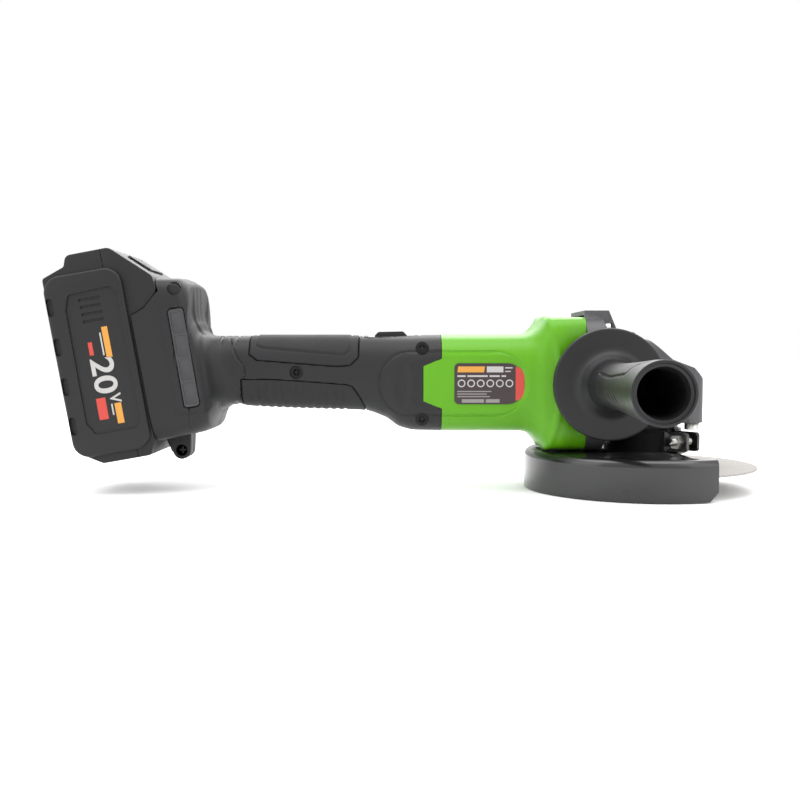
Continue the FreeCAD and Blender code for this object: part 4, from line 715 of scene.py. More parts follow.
def pad_mesh(name, outer, inner):
    """Thin closed pad between an outer and an inner grid of the same size."""
    nx, ny = outer.shape[:2]
    verts = np.concatenate([outer.reshape(-1, 3), inner.reshape(-1, 3)])

    def corner(i, j, layer=0):
        return layer * nx * ny + i * ny + j

    faces = []
    for i in range(nx - 1):
        for j in range(ny - 1):
            faces.append([corner(i, j), corner(i + 1, j), corner(i + 1, j + 1), corner(i, j + 1)])
            faces.append([corner(i, j + 1, 1), corner(i + 1, j + 1, 1), corner(i + 1, j, 1), corner(i, j, 1)])
    edge = [(i, 0) for i in range(nx)] + [(nx - 1, j) for j in range(1, ny)]
    edge += [(i, ny - 1) for i in range(nx - 2, -1, -1)] + [(0, j) for j in range(ny - 2, 0, -1)]
    for a, b in zip(edge, edge[1:] + edge[:1]):
        faces.append([corner(*a), corner(*b), corner(*b, 1), corner(*a, 1)])
    return tidy_normals(new_object(name, verts, faces))


def tube_mesh(name, outer, inner):
    """Closed wall between two grids that run right round the tool."""
    nx, ny = outer.shape[:2]

    def corner(i, j, layer):
        return layer * nx * ny + i * ny + j % ny

    faces = []
    for i, j in np.ndindex(nx - 1, ny):
        for layer, way in ((0, 1), (1, -1)):
            faces.append([corner(i, j, layer), corner(i + 1, j, layer), corner(i + 1, j + 1, layer),
                          corner(i, j + 1, layer)][::way])
    for j in range(ny):
        for i, way in ((0, 1), (nx - 1, -1)):
            faces.append([corner(i, j, 0), corner(i, j + 1, 0), corner(i, j + 1, 1), corner(i, j, 1)][::way])
    return tidy_normals(new_object(name, np.concatenate([outer.reshape(-1, 3), inner.reshape(-1, 3)]), faces))


def mirrored(made, name):
    """Copy on the other side of the tool."""
    copy = made.copy()
    copy.data = made.data.copy()
    copy.name = name
    copy.data.name = name
    bpy.context.collection.objects.link(copy)
    copy.data.transform(Matrix.Scale(-1, 4, (0, 1, 0)))
    copy.data.flip_normals()
    return copy


# ---------------------------------------------------------------- the grip's own lines, from the split
def at(dx, dz):
    """Place from the split and the motor shaft."""
    return (SPLIT_X + dx, AXIS + dz)


def placed(points):
    """Outline points, each at its distance from the split and the shaft."""
    return [at(dx, dz) for dx, dz in points]


def across(points):
    """Values along the grip, each at its distance from the split."""
    return [(SPLIT_X + dx, value) for dx, value in points]


NOTCH = 10.1            # reach of the nose's tongue over the grip
PANEL_BACK = 17.0       # centres of the side panel's round ends, from the split
PANEL_FRONT = 29.0
PANEL_HALF = 17.5
PANEL_LEVEL = 26.6      # flat face of the side panel, from the middle
PLATE_LEVEL = 27.0      # face of the name plate
SHELL_WALL = 2.6
ROOM = 0.45             # space left round the battery


def tongue(z):
    """How far the nose's tongue reaches back over the grip at a height."""
    return NOTCH * np.clip((13.6 - np.abs(z - AXIS)) / 3.9, 0, 1)


GRIP = Skin(
    top=placed([(0, 26.9), (-40, 26.4), (-120.5, 26.4), (-126.6, 26.4), (-132.2, 28.7), (-133.9, 32.6),
                (-135.8, 39.4), (-136.1, 52.9), (-138.5, 56.0), (-143.4, 58.0), (-155.9, 58.0),
                (-169, 58.0)]),
    bottom=placed([(0, -27.0), (-13.5, -26.8), (-22.5, -25.0), (-31.5, -19.3), (-45.5, -15.3),
                   (-60, -15.0), (-100, -13.6), (-114.8, -12.5), (-116.4, -12.5), (-122.1, -15.8),
                   (-125.4, -21.5), (-126.6, -24.9), (-141.2, -28.8), (-159.8, -32.2), (-169, -33.2)]),
    half=across([(0, 28.0), (-13, 27.4), (-22.5, 25.6), (-31.5, 22.8), (-45.5, 20.3), (-64.5, 19.3),
                 (-100, 19.3), (-112.5, 20.0), (-118.5, 22.0), (-123.5, 26.0), (-127.5, 32.0),
                 (-130.5, 35.0), (-133.5, 36.0), (-169, 36.0)]),
    power=across([(0, 3.2), (-22, 3.0), (-45, 2.6), (-112, 2.6), (-125, 3.2), (-145, 7.0), (-169, 8.0)]),
    lean=math.tan(TILT))
NOSE_RISE = [(NOSE_X, 36.5), (NOSE_X - 20.6, 36.5), (NOSE_X - 22.2, 35.7), (NOSE_X - 26, 31.6),
             (NOSE_X - 29.5, 28.4), (NOSE_X - 33.5, 27.2), (SPLIT_X - 12, 27.0)]
NOSE = Skin(
    top=[(x, AXIS + rise) for x, rise in NOSE_RISE],
    bottom=[(x, AXIS - rise) for x, rise in NOSE_RISE],
    half=[(NOSE_X, 30.0), (NOSE_X - 4, 30.8), (NOSE_X - 14, 32.9), (NOSE_X - 22, 31.2), (NOSE_X - 28, 29.0),
          (NOSE_X - 36, 28.1), (SPLIT_X - 12, 28.0)],
    power=[(NOSE_X, 8.0), (NOSE_X - 18, 6.5), (NOSE_X - 26, 3.6), (NOSE_X - 36, 3.3), (SPLIT_X - 12, 3.2)])

PAD_TOP_LINE = placed([(-105.9, 16.1), (-101.5, 12.8), (-58.5, 9.5), (-50.3, 10.0), (-45.8, 14.4)])
PAD_TOP_RAISED = placed([(-103.1, 40), (-101.5, 21.1), (-98.7, 20.0), (-53.5, 16.1), (-51.4, 18.3),
                         (-49.6, 40)])
PAD_LOW_LINE = placed([(-110.2, 1.8), (-93.2, 1.8), (-75.6, 0.7), (-52.5, -1.0), (-49.1, -2.1),
                       (-45.3, -7.6), (-42.3, -13.7)])
FOOT_LINE = placed([(-117.6, 40), (-117.6, 25.5), (-112.5, 13.9), (-108.8, 9.5), (-108.1, 4.8),
                    (-112.0, -8.7), (-112.5, -40)])
FOOT_DENT = [(29.0, AXIS + 47.5), (14.0, AXIS + 48.5), (13.0, AXIS + 32.5), (9.0, AXIS + 27.5),
             (20.0, AXIS + 25.5)]      # distance from the middle, and height
NECK_NOTCHES = (-121.8, -113.9)     # from the split
FILTER_MID = at(-138.4, 14.15)
FILTER_LEAN = math.radians(9.5)


def filter_axes(x, z):
    """Place in the leaning filter window's own frame."""
    dx, dz = x - FILTER_MID[0], z - FILTER_MID[1]
    c, s = math.cos(FILTER_LEAN), math.sin(FILTER_LEAN)
    return dx * c + dz * s, -dx * s + dz * c


def rounded_rect(a, b, half_a, half_b, radius):
    """Signed distance to a rounded rectangle about the middle."""
    qa, qb = np.abs(a) - half_a + radius, np.abs(b) - half_b + radius
    return np.hypot(np.maximum(qa, 0), np.maximum(qb, 0)) + np.minimum(np.maximum(qa, qb), 0) - radius


def groove(distance, width, depth):
    """Height of a groove along a line, from the distance to the line."""
    return -depth * (1 - ease(width * 0.35, width, np.abs(distance)))


def panel_gap(x, z):
    """Signed distance to the outline of the long side panel."""
    return capsule(x, z, SPLIT_X - PANEL_BACK, SPLIT_X + PANEL_FRONT, PANEL_HALF)


def panel_relief(x, z, depth):
    """Groove round the long side panel and the finger hollow at its back end."""
    hollow = np.hypot((x - SPLIT_X + 21.0) / 6.0, (z - AXIS) / 14.0)
    return groove(panel_gap(x, z), 0.8, depth) - 1.3 * (1 - ease(0.3, 1.0, hollow))


def grip_relief(x, y, z, depth):
    """Height of the grip's grooves, hollows and sunk lands."""
    side = ease(6.0, 10.0, np.abs(y))
    h = panel_relief(x, z, depth) * side
    h = np.minimum(h, groove(from_line(x, z, FOOT_LINE), 0.75, depth))
    upper = from_area(x, z, PAD_TOP_LINE + [at(-45.8, 60), at(-105.9, 60)])
    lower = from_area(x, z, PAD_LOW_LINE + [at(-42.3, -60), at(-110.2, -60)])
    h = h - 1.3 * (1 - ease(0.15, 0.5, upper)) - 1.3 * (1 - ease(0.15, 0.5, lower))
    for place in NECK_NOTCHES:
        notch = 0.9 * (1 - ease(0.5, 1.3, np.abs(x - SPLIT_X - place)))
        h = h - notch * ease(AXIS + 18.0, AXIS + 25.0, z)
        h = h - notch * ease(AXIS - 9.0, AXIS - 13.0, z)
    front = ease(FOOT_X - 20.0, FOOT_X - 17.0, x) * (1 - ease(FOOT_X - 6.0, FOOT_X - 2.0, x))
    h = h - 1.2 * (1 - ease(-2.2, 0.6, from_area(np.abs(y), z, FOOT_DENT))) * front
    a, b = filter_axes(x, z)
    strip = rounded_rect(a, b - 12.0, 9.2, 42.0, 3.0)
    h = h - 0.5 * (1 - ease(-0.7, 0.5, strip)) * side
    h = h - 1.4 * (1 - ease(-0.1, 0.45, rounded_rect(a, b, 4.2, 26.6, 1.9))) * side
    switch = rounded_rect(x - SPLIT_X + 27.5, np.abs(y), 16.0, 10.5, 4.0)
    h = h + groove(switch, 0.7, depth * 0.9) * ease(AXIS + 8.0, AXIS + 16.0, z)
    return h


def nose_relief(x, y, z, depth):
    """Height of the panel's groove and the raised band before the gear head."""
    side = ease(6.0, 10.0, np.abs(y))
    h = panel_relief(x, z, depth) * side
    band = x - (NOSE_X - 14.0 - 7.0 * ((z - AXIS) / 36.0) ** 2)
    return h + 0.7 * (1 - ease(0.0, 3.2, np.abs(band))) * side


def flatten_panel(grid, level):
    """Planes the side panel down to one flat level."""
    flat = 1 - ease(-1.6, 0.0, panel_gap(grid[..., 0], grid[..., 2]))
    target = -np.minimum(np.abs(grid[..., 1]), level)
    grid[..., 1] = grid[..., 1] * (1 - flat) + target * flat
    return grid


def columns(low, high, step, dense=None):
    """Evenly spaced x places, closer together inside a dense stretch."""
    count = max(int((high - low) / step), 8)
    xs = np.linspace(low, high, count)
    if dense:
        extra = np.linspace(dense[0], dense[1], max(int((dense[1] - dense[0]) / (step * 0.45)), 4))
        xs = np.concatenate([xs[(xs < dense[0]) | (xs > dense[1])], extra])
    return np.unique(np.round(xs, 4))


def grip_half(step, depth):
    """Near half of the grip and foot, solid, before it is hollowed."""
    xs = columns(GRIP_LOW[0], SPLIT_X - 0.15, step, (FOOT_X - 17.0, FOOT_X - 10.0))
    rows = int(72 / step)
    turns = GRIP.rows(xs, rows)
    grid = GRIP.spot(np.repeat(xs[:, None], rows, 1), turns)
    notch = tongue(grid[..., 2]) * ease(SPLIT_X - 34.0, SPLIT_X, grid[..., 0])
    grid = GRIP.spot(grid[..., 0] - notch, turns)
    grid = flatten_panel(grid, PANEL_LEVEL)
    height = grip_relief(grid[..., 0], grid[..., 1], grid[..., 2], depth)
    seam = 0.35 * (1 - ease(0.0, 0.8, np.abs(grid[..., 1])))
    return closed_half("grip_shell_near_skin", push_out(grid, height - seam))


def battery_shape(grow=0.0):
    """Outline of the battery across its own frame."""
    points = [(-21.4, -44.0), (-17.0, -47.8), (-7.4, -53.7), (18.6, -53.7), (22.0, -46.5), (22.0, 21.5),
              (29.7, 24.9), (38.2, 32.6), (36.7, 41.2), (16.6, 59.7), (-6.8, 59.4), (-8.8, 53.6),
              (-13.6, 51.9), (-21.4, 49.1)]
    if not grow:
        return points
    spots = np.array(points)
    before, after = np.roll(spots, 1, 0), np.roll(spots, -1, 0)
    normal = np.stack([(after - before)[:, 1], -(after - before)[:, 0]], -1)
    normal /= np.linalg.norm(normal, axis=1, keepdims=True)
    return [tuple(p) for p in spots + normal * grow]


# ---------------------------------------------------------------- operators, one for each group of pieces
class GrinderOperator:
    """Shared start of the operators: runs, reports nothing and stops on any error."""
    bl_options = {"REGISTER", "UNDO"}

    def execute(self, context):
        self.build(context.scene.grinder_sizes, context.scene.grinder_colours)
        return {"FINISHED"}


class GRINDER_OT_finishes(GrinderOperator, bpy.types.Operator):
    """Make every material"""
    bl_idname = "grinder.finishes"
    bl_label = "Finishes"

    def build(self, sizes, colours):
        make_finishes(colours)


def battery_prism(name, grow, half_y):
    """Prism of the battery's outline, in its place on the tool."""
    return tilted(prism(name, battery_shape(grow), -half_y, half_y))


def slant_box(name, low_a, high_a, low_b, high_b, low_y, high_y, radius):
    """Rounded block in the leaning filter window's frame."""
    outline = rounded_corners(rectangle(low_a, low_b, high_a, high_b), radius)
    c, s = math.cos(FILTER_LEAN), math.sin(FILTER_LEAN)
    points = [(FILTER_MID[0] + a * c - b * s, FILTER_MID[1] + a * s + b * c) for a, b in outline]
    return prism(name, points, low_y, high_y)


SCREW_SPOTS = (
    ("screw_top", *at(-10.6, 19.3), 24.6), ("screw_low", *at(-10.6, -19.6), 24.4),
    ("screw_grip", *at(-79.9, 6.0), 18.6),
    ("screw_foot", *at(-143.6, 51.3), 34.6), ("screw_lug", *at(-145.9, -38.2), 6.2))


class GRINDER_OT_grip(GrinderOperator, bpy.types.Operator):
    """Build both halves of the grip and foot"""
    bl_idname = "grinder.grip"
    bl_label = "Grip and foot"

    def build(self, sizes, colours):
        half = grip_half(sizes.skin_step, sizes.seam_depth)
        xs = np.linspace(FOOT_X + 2.0, SPLIT_X + 8, 60)
        turns = GRIP.rows(np.minimum(xs, SPLIT_X), 40, inset=SHELL_WALL)
        inner = GRIP.spot(np.repeat(xs[:, None], 40, 1), turns, SHELL_WALL)
        hollow = closed_half("grip_hollow", inner)
        moved(hollow, Matrix.Translation((0, 0.4 * MM, 0)))
        boolean(half, hollow)
        boolean(half, battery_prism("battery_room", ROOM, 60.0))
        rails = [(21.0, -42.0), (29.4, -42.0), (29.4, 24.4), (21.0, 24.4)]
        boolean(half, tilted(prism("rail_room", rails, -24.4, 24.4)))
        room_low, room_high = (SPLIT_X - 41.0, -9.0, AXIS + 20), (SPLIT_X - 14.0, 9.0, AXIS + 40)
        boolean(half, block("switch_room", room_low, room_high, 3.0, "z"))
        lug = self.lug()
        boolean(half, lug, "UNION")
        far = mirrored(half, "grip_shell_far")
        for name, x, z, depth in SCREW_SPOTS:
            wide = 3.3 if name == "screw_lug" else 3.7
            boolean(half, drum("recess", wide, (x, -60, z), (x, -depth + 2.2, z)))
        for side, name in ((-1, "air_filter_cover_near"), (1, "air_filter_cover_far")):
            self.filter_cover(side, name)
        for made, body_name in ((half, "grip_shell_near"), (far, "grip_shell_far")):
            made.name = body_name
            smooth(made, 32.0)
            done(made, "tool_body", "charcoal_plastic", body_name)

    def filter_cover(self, side, name):
        """Cover in the leaning window: a thin frame round four shallow shining panels."""
        low, high = sorted((side * 34.2, side * 35.6))
        cover = slant_box(name, -4.0, 4.0, -26.4, 26.4, low, high, 1.7)
        sunk = [slant_box("sunk", -3.1, 3.1, z - 5.6, z + 5.6, *sorted((side * 35.1, side * 37.0)), 1.0)
                for z in (-19.2, -6.4, 6.4, 19.2)]
        boolean(cover, tidy_normals(joined(sunk, "sunk_panels")))
        bevel(cover, 0.15, 2)
        smooth(cover, 32.0)
        done(cover, "tool_body", "filter_mesh", name)

    def lug(self):
        """Near half of the strap lug under the foot."""
        tip_x, tip_z = at(-145.9, -38.2)
        points = [(tip_x - 10.5, AXIS - 27.5), (tip_x - 5.6, tip_z - 0.6)]
        points += [(tip_x + 5 * math.cos(a), tip_z + 5 * math.sin(a)) for a in np.linspace(-2.9, 0, 14)]
        points += [(tip_x + 5.6, AXIS - 24.5)]
        lug = prism("lug", points, -7.4, 0.0)
        boolean(lug, battery_prism("lug_room", ROOM, 60.0))
        return bevel(lug, 0.5, 2)


class GRINDER_OT_pads(GrinderOperator, bpy.types.Operator):
    """Build the soft pads on the grip"""
    bl_idname = "grinder.pads"
    bl_label = "Grip pads"

    def build(self, sizes, colours):
        step = sizes.skin_step
        self.pad("grip_pad_upper", PAD_TOP_LINE, step, True, sizes)
        self.pad("grip_pad_lower", PAD_LOW_LINE, step, False, sizes)

    def pad(self, name, line, step, upper, sizes):
        """Soft pad over the top or the underside, on both sides of the middle."""
        low, high = line[0][0], line[-1][0]
        xs = columns(low, high, step * 0.9)
        edge = np.interp(xs, *np.array(line).T)
        share = GRIP.share_at(xs, edge)
        rows = int(56 / step)
        turns = GRIP.rows(xs, rows, share, 1.0) if upper else GRIP.rows(xs, rows, 0.0, share)
        grid = GRIP.spot(np.repeat(xs[:, None], rows, 1), turns)
        x, z = grid[..., 0], grid[..., 2]
        run = np.minimum(x - low, high - x)
        border = np.minimum(run, from_line(x, z, line))
        height = 0.25 * ease(0.0, 0.7, border) - 0.4 * (1 - ease(0.0, 0.3, border))
        if upper:
            raised = from_area(x, z, PAD_TOP_RAISED)
            height = height + 0.45 * (1 - ease(-0.5, 0.6, raised))
            height = height - 0.35 * (1 - ease(0.0, 0.7, np.abs(raised - 1.0)))
        else:
            phase = (x - SPLIT_X + 102.0) / sizes.rib_pitch
            rib = 0.5 - 0.5 * np.cos(2 * math.pi * phase)
            inside = ease(1.5, 3.0, border) * ease(SPLIT_X - 104.5, SPLIT_X - 102.5, x)
            inside = inside * (1 - ease(SPLIT_X - 52.0, SPLIT_X - 50.0, x))
            height = height + (0.55 * rib ** 0.6 - 0.55) * inside
        far_y = np.array([1, -1, 1])
        outer = push_out(grid, height)
        inner = push_out(grid, np.full(x.shape, -1.15))
        if upper:
            outer = np.concatenate([outer, outer[:, -2::-1] * far_y], 1)
            inner = np.concatenate([inner, inner[:, -2::-1] * far_y], 1)
        else:
            outer = np.concatenate([outer[:, :0:-1] * far_y, outer], 1)
            inner = np.concatenate([inner[:, :0:-1] * far_y, inner], 1)
        made = pad_mesh(name, outer, inner)
        smooth(made, 50.0)
        done(made, "tool_body", "grip_rubber", name)


class GRINDER_OT_nose(GrinderOperator, bpy.types.Operator):
    """Build the motor housing"""
    bl_idname = "grinder.nose"
    bl_label = "Motor housing"

    def build(self, sizes, colours):
        step = sizes.skin_step
        xs = columns(SPLIT_X + 0.15, NOSE_X - 0.2, step)
        rows = int(92 / step)
        turns = NOSE.rows(xs, rows)
        grid = NOSE.spot(np.repeat(xs[:, None], rows, 1), turns)
        notch = tongue(grid[..., 2]) * ease(SPLIT_X + 34.0, SPLIT_X, grid[..., 0])
        flat = grid[..., 0] - notch
        grid = NOSE.spot(flat, turns)
        grid = flatten_panel(grid, PANEL_LEVEL)
        x, y, z = grid[..., 0], grid[..., 1], grid[..., 2]
        outer = push_out(grid, nose_relief(x, y, z, sizes.seam_depth))
        inner = push_out(grid, np.full(x.shape, -2.3))
        outer[:, (0, -1), 1] = 0
        inner[:, (0, -1), 1] = 0
        far_y = np.array([1, -1, 1])
        outer = np.concatenate([outer, outer[:, -2:0:-1] * far_y], 1)
        inner = np.concatenate([inner, inner[:, -2:0:-1] * far_y], 1)
        made = tube_mesh("motor_housing_skin", outer, inner)
        smooth(made, 40.0)
        done(made, "tool_body", "green_plastic", "motor_housing")


class GRINDER_OT_name_plates(GrinderOperator, bpy.types.Operator):
    """Build the printed plates on the motor housing"""
    bl_idname = "grinder.name_plates"
    bl_label = "Name plates"

    def build(self, sizes, colours):
        end = NOSE_X - 33.2
        mid, half = (end - 19.05), 11.15
        outline = [(end - 38.1, -half), (end, -half), (end, half), (end - 38.1, half)]
        outline = rounded_corners(outline, [2.5, 9.5, 9.5, 2.5], 10)
        for side, name in ((-1, "near"), (1, "far")):
            face, skin = side * 26.55, side * PLATE_LEVEL
            plate_outline = [(x, AXIS + z) for x, z in outline]
            plate = prism("name_plate_" + name, plate_outline, min(face, skin), max(face, skin))
            bevel(plate, 0.12, 2)
            done(plate, "tool_body", "battery_panel", "name_plate_" + name, finish="label_dark")
            way = -side
            prints = {"label_red": [], "label_orange": [], "label_white": [], "label_grey": []}
            band = [(14.2, -half + 1.6), (19.0, -half + 4.0), (19.0, half - 4.0), (14.2, half - 1.6)]
            red = rounded_corners(band, [0.3, 4.0, 4.0, 0.3], 10)
            prints["label_red"].append(red)
            prints["label_orange"].append([(-17.5, 6.2), (-3.0, 6.2), (-2.5, 9.4), (-17.0, 9.4)])
            bars = [(-1.5, 6.2, 7.5, 9.4), (8.5, 8.3, 12.5, 9.0), (8.5, 6.4, 11.5, 7.0),
                    (-17.5, 3.7, -13.0, 4.6), (-12.0, 3.7, -1.0, 4.6), (0.0, 3.7, 5.5, 4.6),
                    (6.5, 3.7, 9.0, 4.6)]
            prints["label_white"] += [rectangle(*bar) for bar in bars]
            grey = [(-17.5, -4.5, 1.0, -3.9), (-17.5, -5.9, -1.5, -5.3), (-17.5, -7.3, 0.2, -6.7),
                    (-15.0, -10.3, -3.0, -8.4), (-2.0, -10.3, 5.5, -8.4)]
            prints["label_grey"] += [rectangle(*bar) for bar in grey]
            for ink, shapes in prints.items():
                parts = [prism("print", [(mid + way * x, AXIS + z) for x, z in shape],
                               side * PLATE_LEVEL - 0.02, side * PLATE_LEVEL + 0.03) for shape in shapes]
                made = tidy_normals(joined(parts, f"print_{ink[6:]}_{name}"))
                done(made, "tool_body", "battery_panel", finish=ink)
            self.badges(mid, way, side, name)

    def badges(self, mid, way, side, name):
        """Row of blank round marks across the plate."""
        start = (mid + way * -15.2, side * 27.01, AXIS + 0.2)
        ring = lathe("badge", [(1.5, -0.03), (1.5, 0.04), (2.1, 0.04), (2.1, -0.03)], (0, 0, 0), "y", 32)
        made = row_of(ring, "badges_" + name, "label_white", 6, (way * 5.2, 0, 0), start)
        done(made, "tool_body", "battery_panel", finish="label_white")


class GRINDER_OT_battery(GrinderOperator, bpy.types.Operator):
    """Build the battery pack"""
    bl_idname = "grinder.battery"
    bl_label = "Battery"

    def build(self, sizes, colours):
        self.shells()
        for side, name in ((-1, "battery_side_near"), (1, "battery_side_far")):
            self.cheek(side, name)
        self.print_near()

    def shells(self):
        """Case and cover, hollow, joined at a fine line."""
        outline = battery_shape()
        radii = [2.0, 2.0, 3.0, 2.0, 0.6, 0.6, 4.0, 6.0, 4.0, 5.0, 3.5, 2.0, 2.0, 2.0]
        rounded = rounded_corners(outline, radii, 5)
        whole = prism("battery_whole", rounded, -CORE_HALF, CORE_HALF)
        bevel(whole, 1.6, 4, 40)
        inside = prism("battery_inside", [(-19.0, -45.5), (19.8, -45.5), (19.8, 45.5), (-19.0, 45.5)],
                       -CORE_HALF + 1.9, CORE_HALF - 1.9)
        boolean(whole, inside)
        case = whole.copy()
        case.data = whole.data.copy()
        bpy.context.collection.objects.link(case)
        halves = ((case, 11.85, 60.0, "battery_case"), (whole, -60.0, 12.15, "battery_cover"))
        for made, low, high, name in halves:
            boolean(made, block("cut", (low, -60, -90), (high, 60, 90)))
            made.name = name
            if name == "battery_cover":
                self.rails(made)
                self.latch_room(made)
            tilted(made)
            smooth(made, 35.0)
            done(made, "battery", "battery_plastic", name)

    def rails(self, made):
        """Two rails that the foot's channel takes."""
        for side in (-1, 1):
            low, high = sorted((side * 9.0, side * 20.0))
            neck = block("rail_neck", (21.5, low, -42.0), (25.2, high, 24.0))
            boolean(made, neck, "UNION")
            low, high = sorted((side * 9.0, side * 24.0))
            head = block("rail_head", (25.0, low, -42.0), (29.0, high, 24.0))
            boolean(made, head, "UNION")

    def latch_room(self, made):
        """Pocket in the sloping top for the release button."""
        (a, b), (c, d) = (36.7, 41.2), (16.6, 59.7)
        mid = ((a + c) / 2, (b + d) / 2)
        slope = math.atan2(d - b, c - a)
        pocket = block("pocket", (-8.0, -15.5, -6.0), (8.0, 15.5, 3.0), 2.0, "z")
        turn = Matrix.Rotation(-slope + math.pi, 4, "Y")
        moved(pocket, Matrix.Translation((mid[0] * MM, 0, mid[1] * MM)) @ turn)
        boolean(made, pocket)

    def cheek(self, side, name):
        """Side plate of the pack with its sunk panel, thumb grooves and edge notches."""
        low, high = sorted((side * CORE_HALF, side * (BATTERY_HALF - 0.02)))
        outline = rounded_corners([(-21.0, -49.0), (21.0, -49.0), (21.0, 49.0), (-21.0, 49.0)], 9.0, 10)
        plate = prism(name, outline, low, high)
        bevel(plate, 1.3, 4, 60)
        panel = [(-7.5, -37.6), (15.2, -37.7), (17.6, -34.0), (17.6, 35.5), (14.9, 39.1), (-8.4, 38.1),
                 (-11.0, 30.0), (-11.5, -31.0)]
        out = side * (BATTERY_HALF + 1.0)
        deep = side * (BATTERY_HALF - 1.0)
        rounded = rounded_corners(panel, 2.5, 5)
        sunk = prism("sunk", rounded, *sorted((deep, out)))
        boolean(plate, sunk)
        thumb_groove = block("groove", (-5.2, -0.8, -0.75), (6.4, 0.8, 0.75), 0.7)
        slots = row_of(thumb_groove, "grooves", "battery_panel", 4, (0.1, 0, -3.9), (1.7, deep, 34.3))
        boolean(plate, slots)
        notch = block("notch", (-1.9, -2.4, -4.8), (1.9, 2.4, 4.8), 1.85)
        first = (-18.9, side * BATTERY_HALF, 33.0)
        notches = row_of(notch, "notches", "battery_panel", 4, (0.1, 0, -21.4), first)
        boolean(plate, notches)
        tilted(plate)
        smooth(plate, 32.0)
        done(plate, "battery", "battery_panel", name)

    def print_near(self):
        """Voltage mark and plain bars on the near side."""
        face = -(BATTERY_HALF - 1.0)
        for text, low, high in (("20", (-3.6, 2.4), (9.0, -16.8)), ("V", (3.4, -17.4), (9.4, -22.6))):
            font = bpy.data.curves.new("mark", "FONT")
            font.body = text
            font.extrude = 0.04 * MM
            font.offset = 0.018
            shape = bpy.data.objects.new("mark", font)
            bpy.context.collection.objects.link(shape)
            bpy.context.view_layer.update()
            mesh = bpy.data.meshes.new_from_object(shape.evaluated_get(bpy.context.evaluated_depsgraph_get()))
            bpy.data.objects.remove(shape, do_unlink=True)
            spots = np.array([v.co for v in mesh.vertices])
            size = spots.max(0) - spots.min(0)
            run = (spots - spots.min(0)) / size
            u = low[0] + run[:, 1] * (high[0] - low[0])
            v = low[1] + run[:, 0] * (high[1] - low[1])
            y = face - 0.05 * (run[:, 2] * 2 - 1)
            faces = [list(p.vertices) for p in mesh.polygons]
            mark = tidy_normals(new_object("print_volts_" + text, np.stack([u, y, v], -1), faces))
            bpy.data.meshes.remove(mesh)
            tilted(mark)
            done(mark, "battery", "battery_panel", finish="label_white")
        bars = {
            "label_orange": [(5.8, 1.9, 9.0, 18.4), (5.2, -33.8, 8.8, -22.8)],
            "label_red": [(-4.1, -30.4, 0.9, -18.8), (-2.8, 4.4, -0.6, 11.4)],
            "label_white": [(4.2, 3.4, 5.0, 15.6), (3.4, -28.8, 4.2, -22.8)],
        }
        for ink, boxes in bars.items():
            parts = [block("bar", (a, face - 0.05, b), (c, face + 0.05, d)) for a, b, c, d in boxes]
            made = tilted(tidy_normals(joined(parts, "print_bars_" + ink[6:])))
            done(made, "battery", "battery_panel", finish=ink)


def turned_ring(points, steps=4):
    """Profile with rounded corners for a lathe: points are (radius, height, corner radius)."""
    return rounded_corners([(r, h) for r, h, _ in points], [c for _, _, c in points], steps)


def resampled(loop, step):
    """Closed outline with points added wherever two are further apart than a step."""
    result = []
    for here, after in zip(loop, loop[1:] + loop[:1]):
        parts = max(int(math.dist(here, after) / step), 1)
        result += [tuple(a + (b - a) * k / parts for a, b in zip(here, after)) for k in range(parts)]
    return result


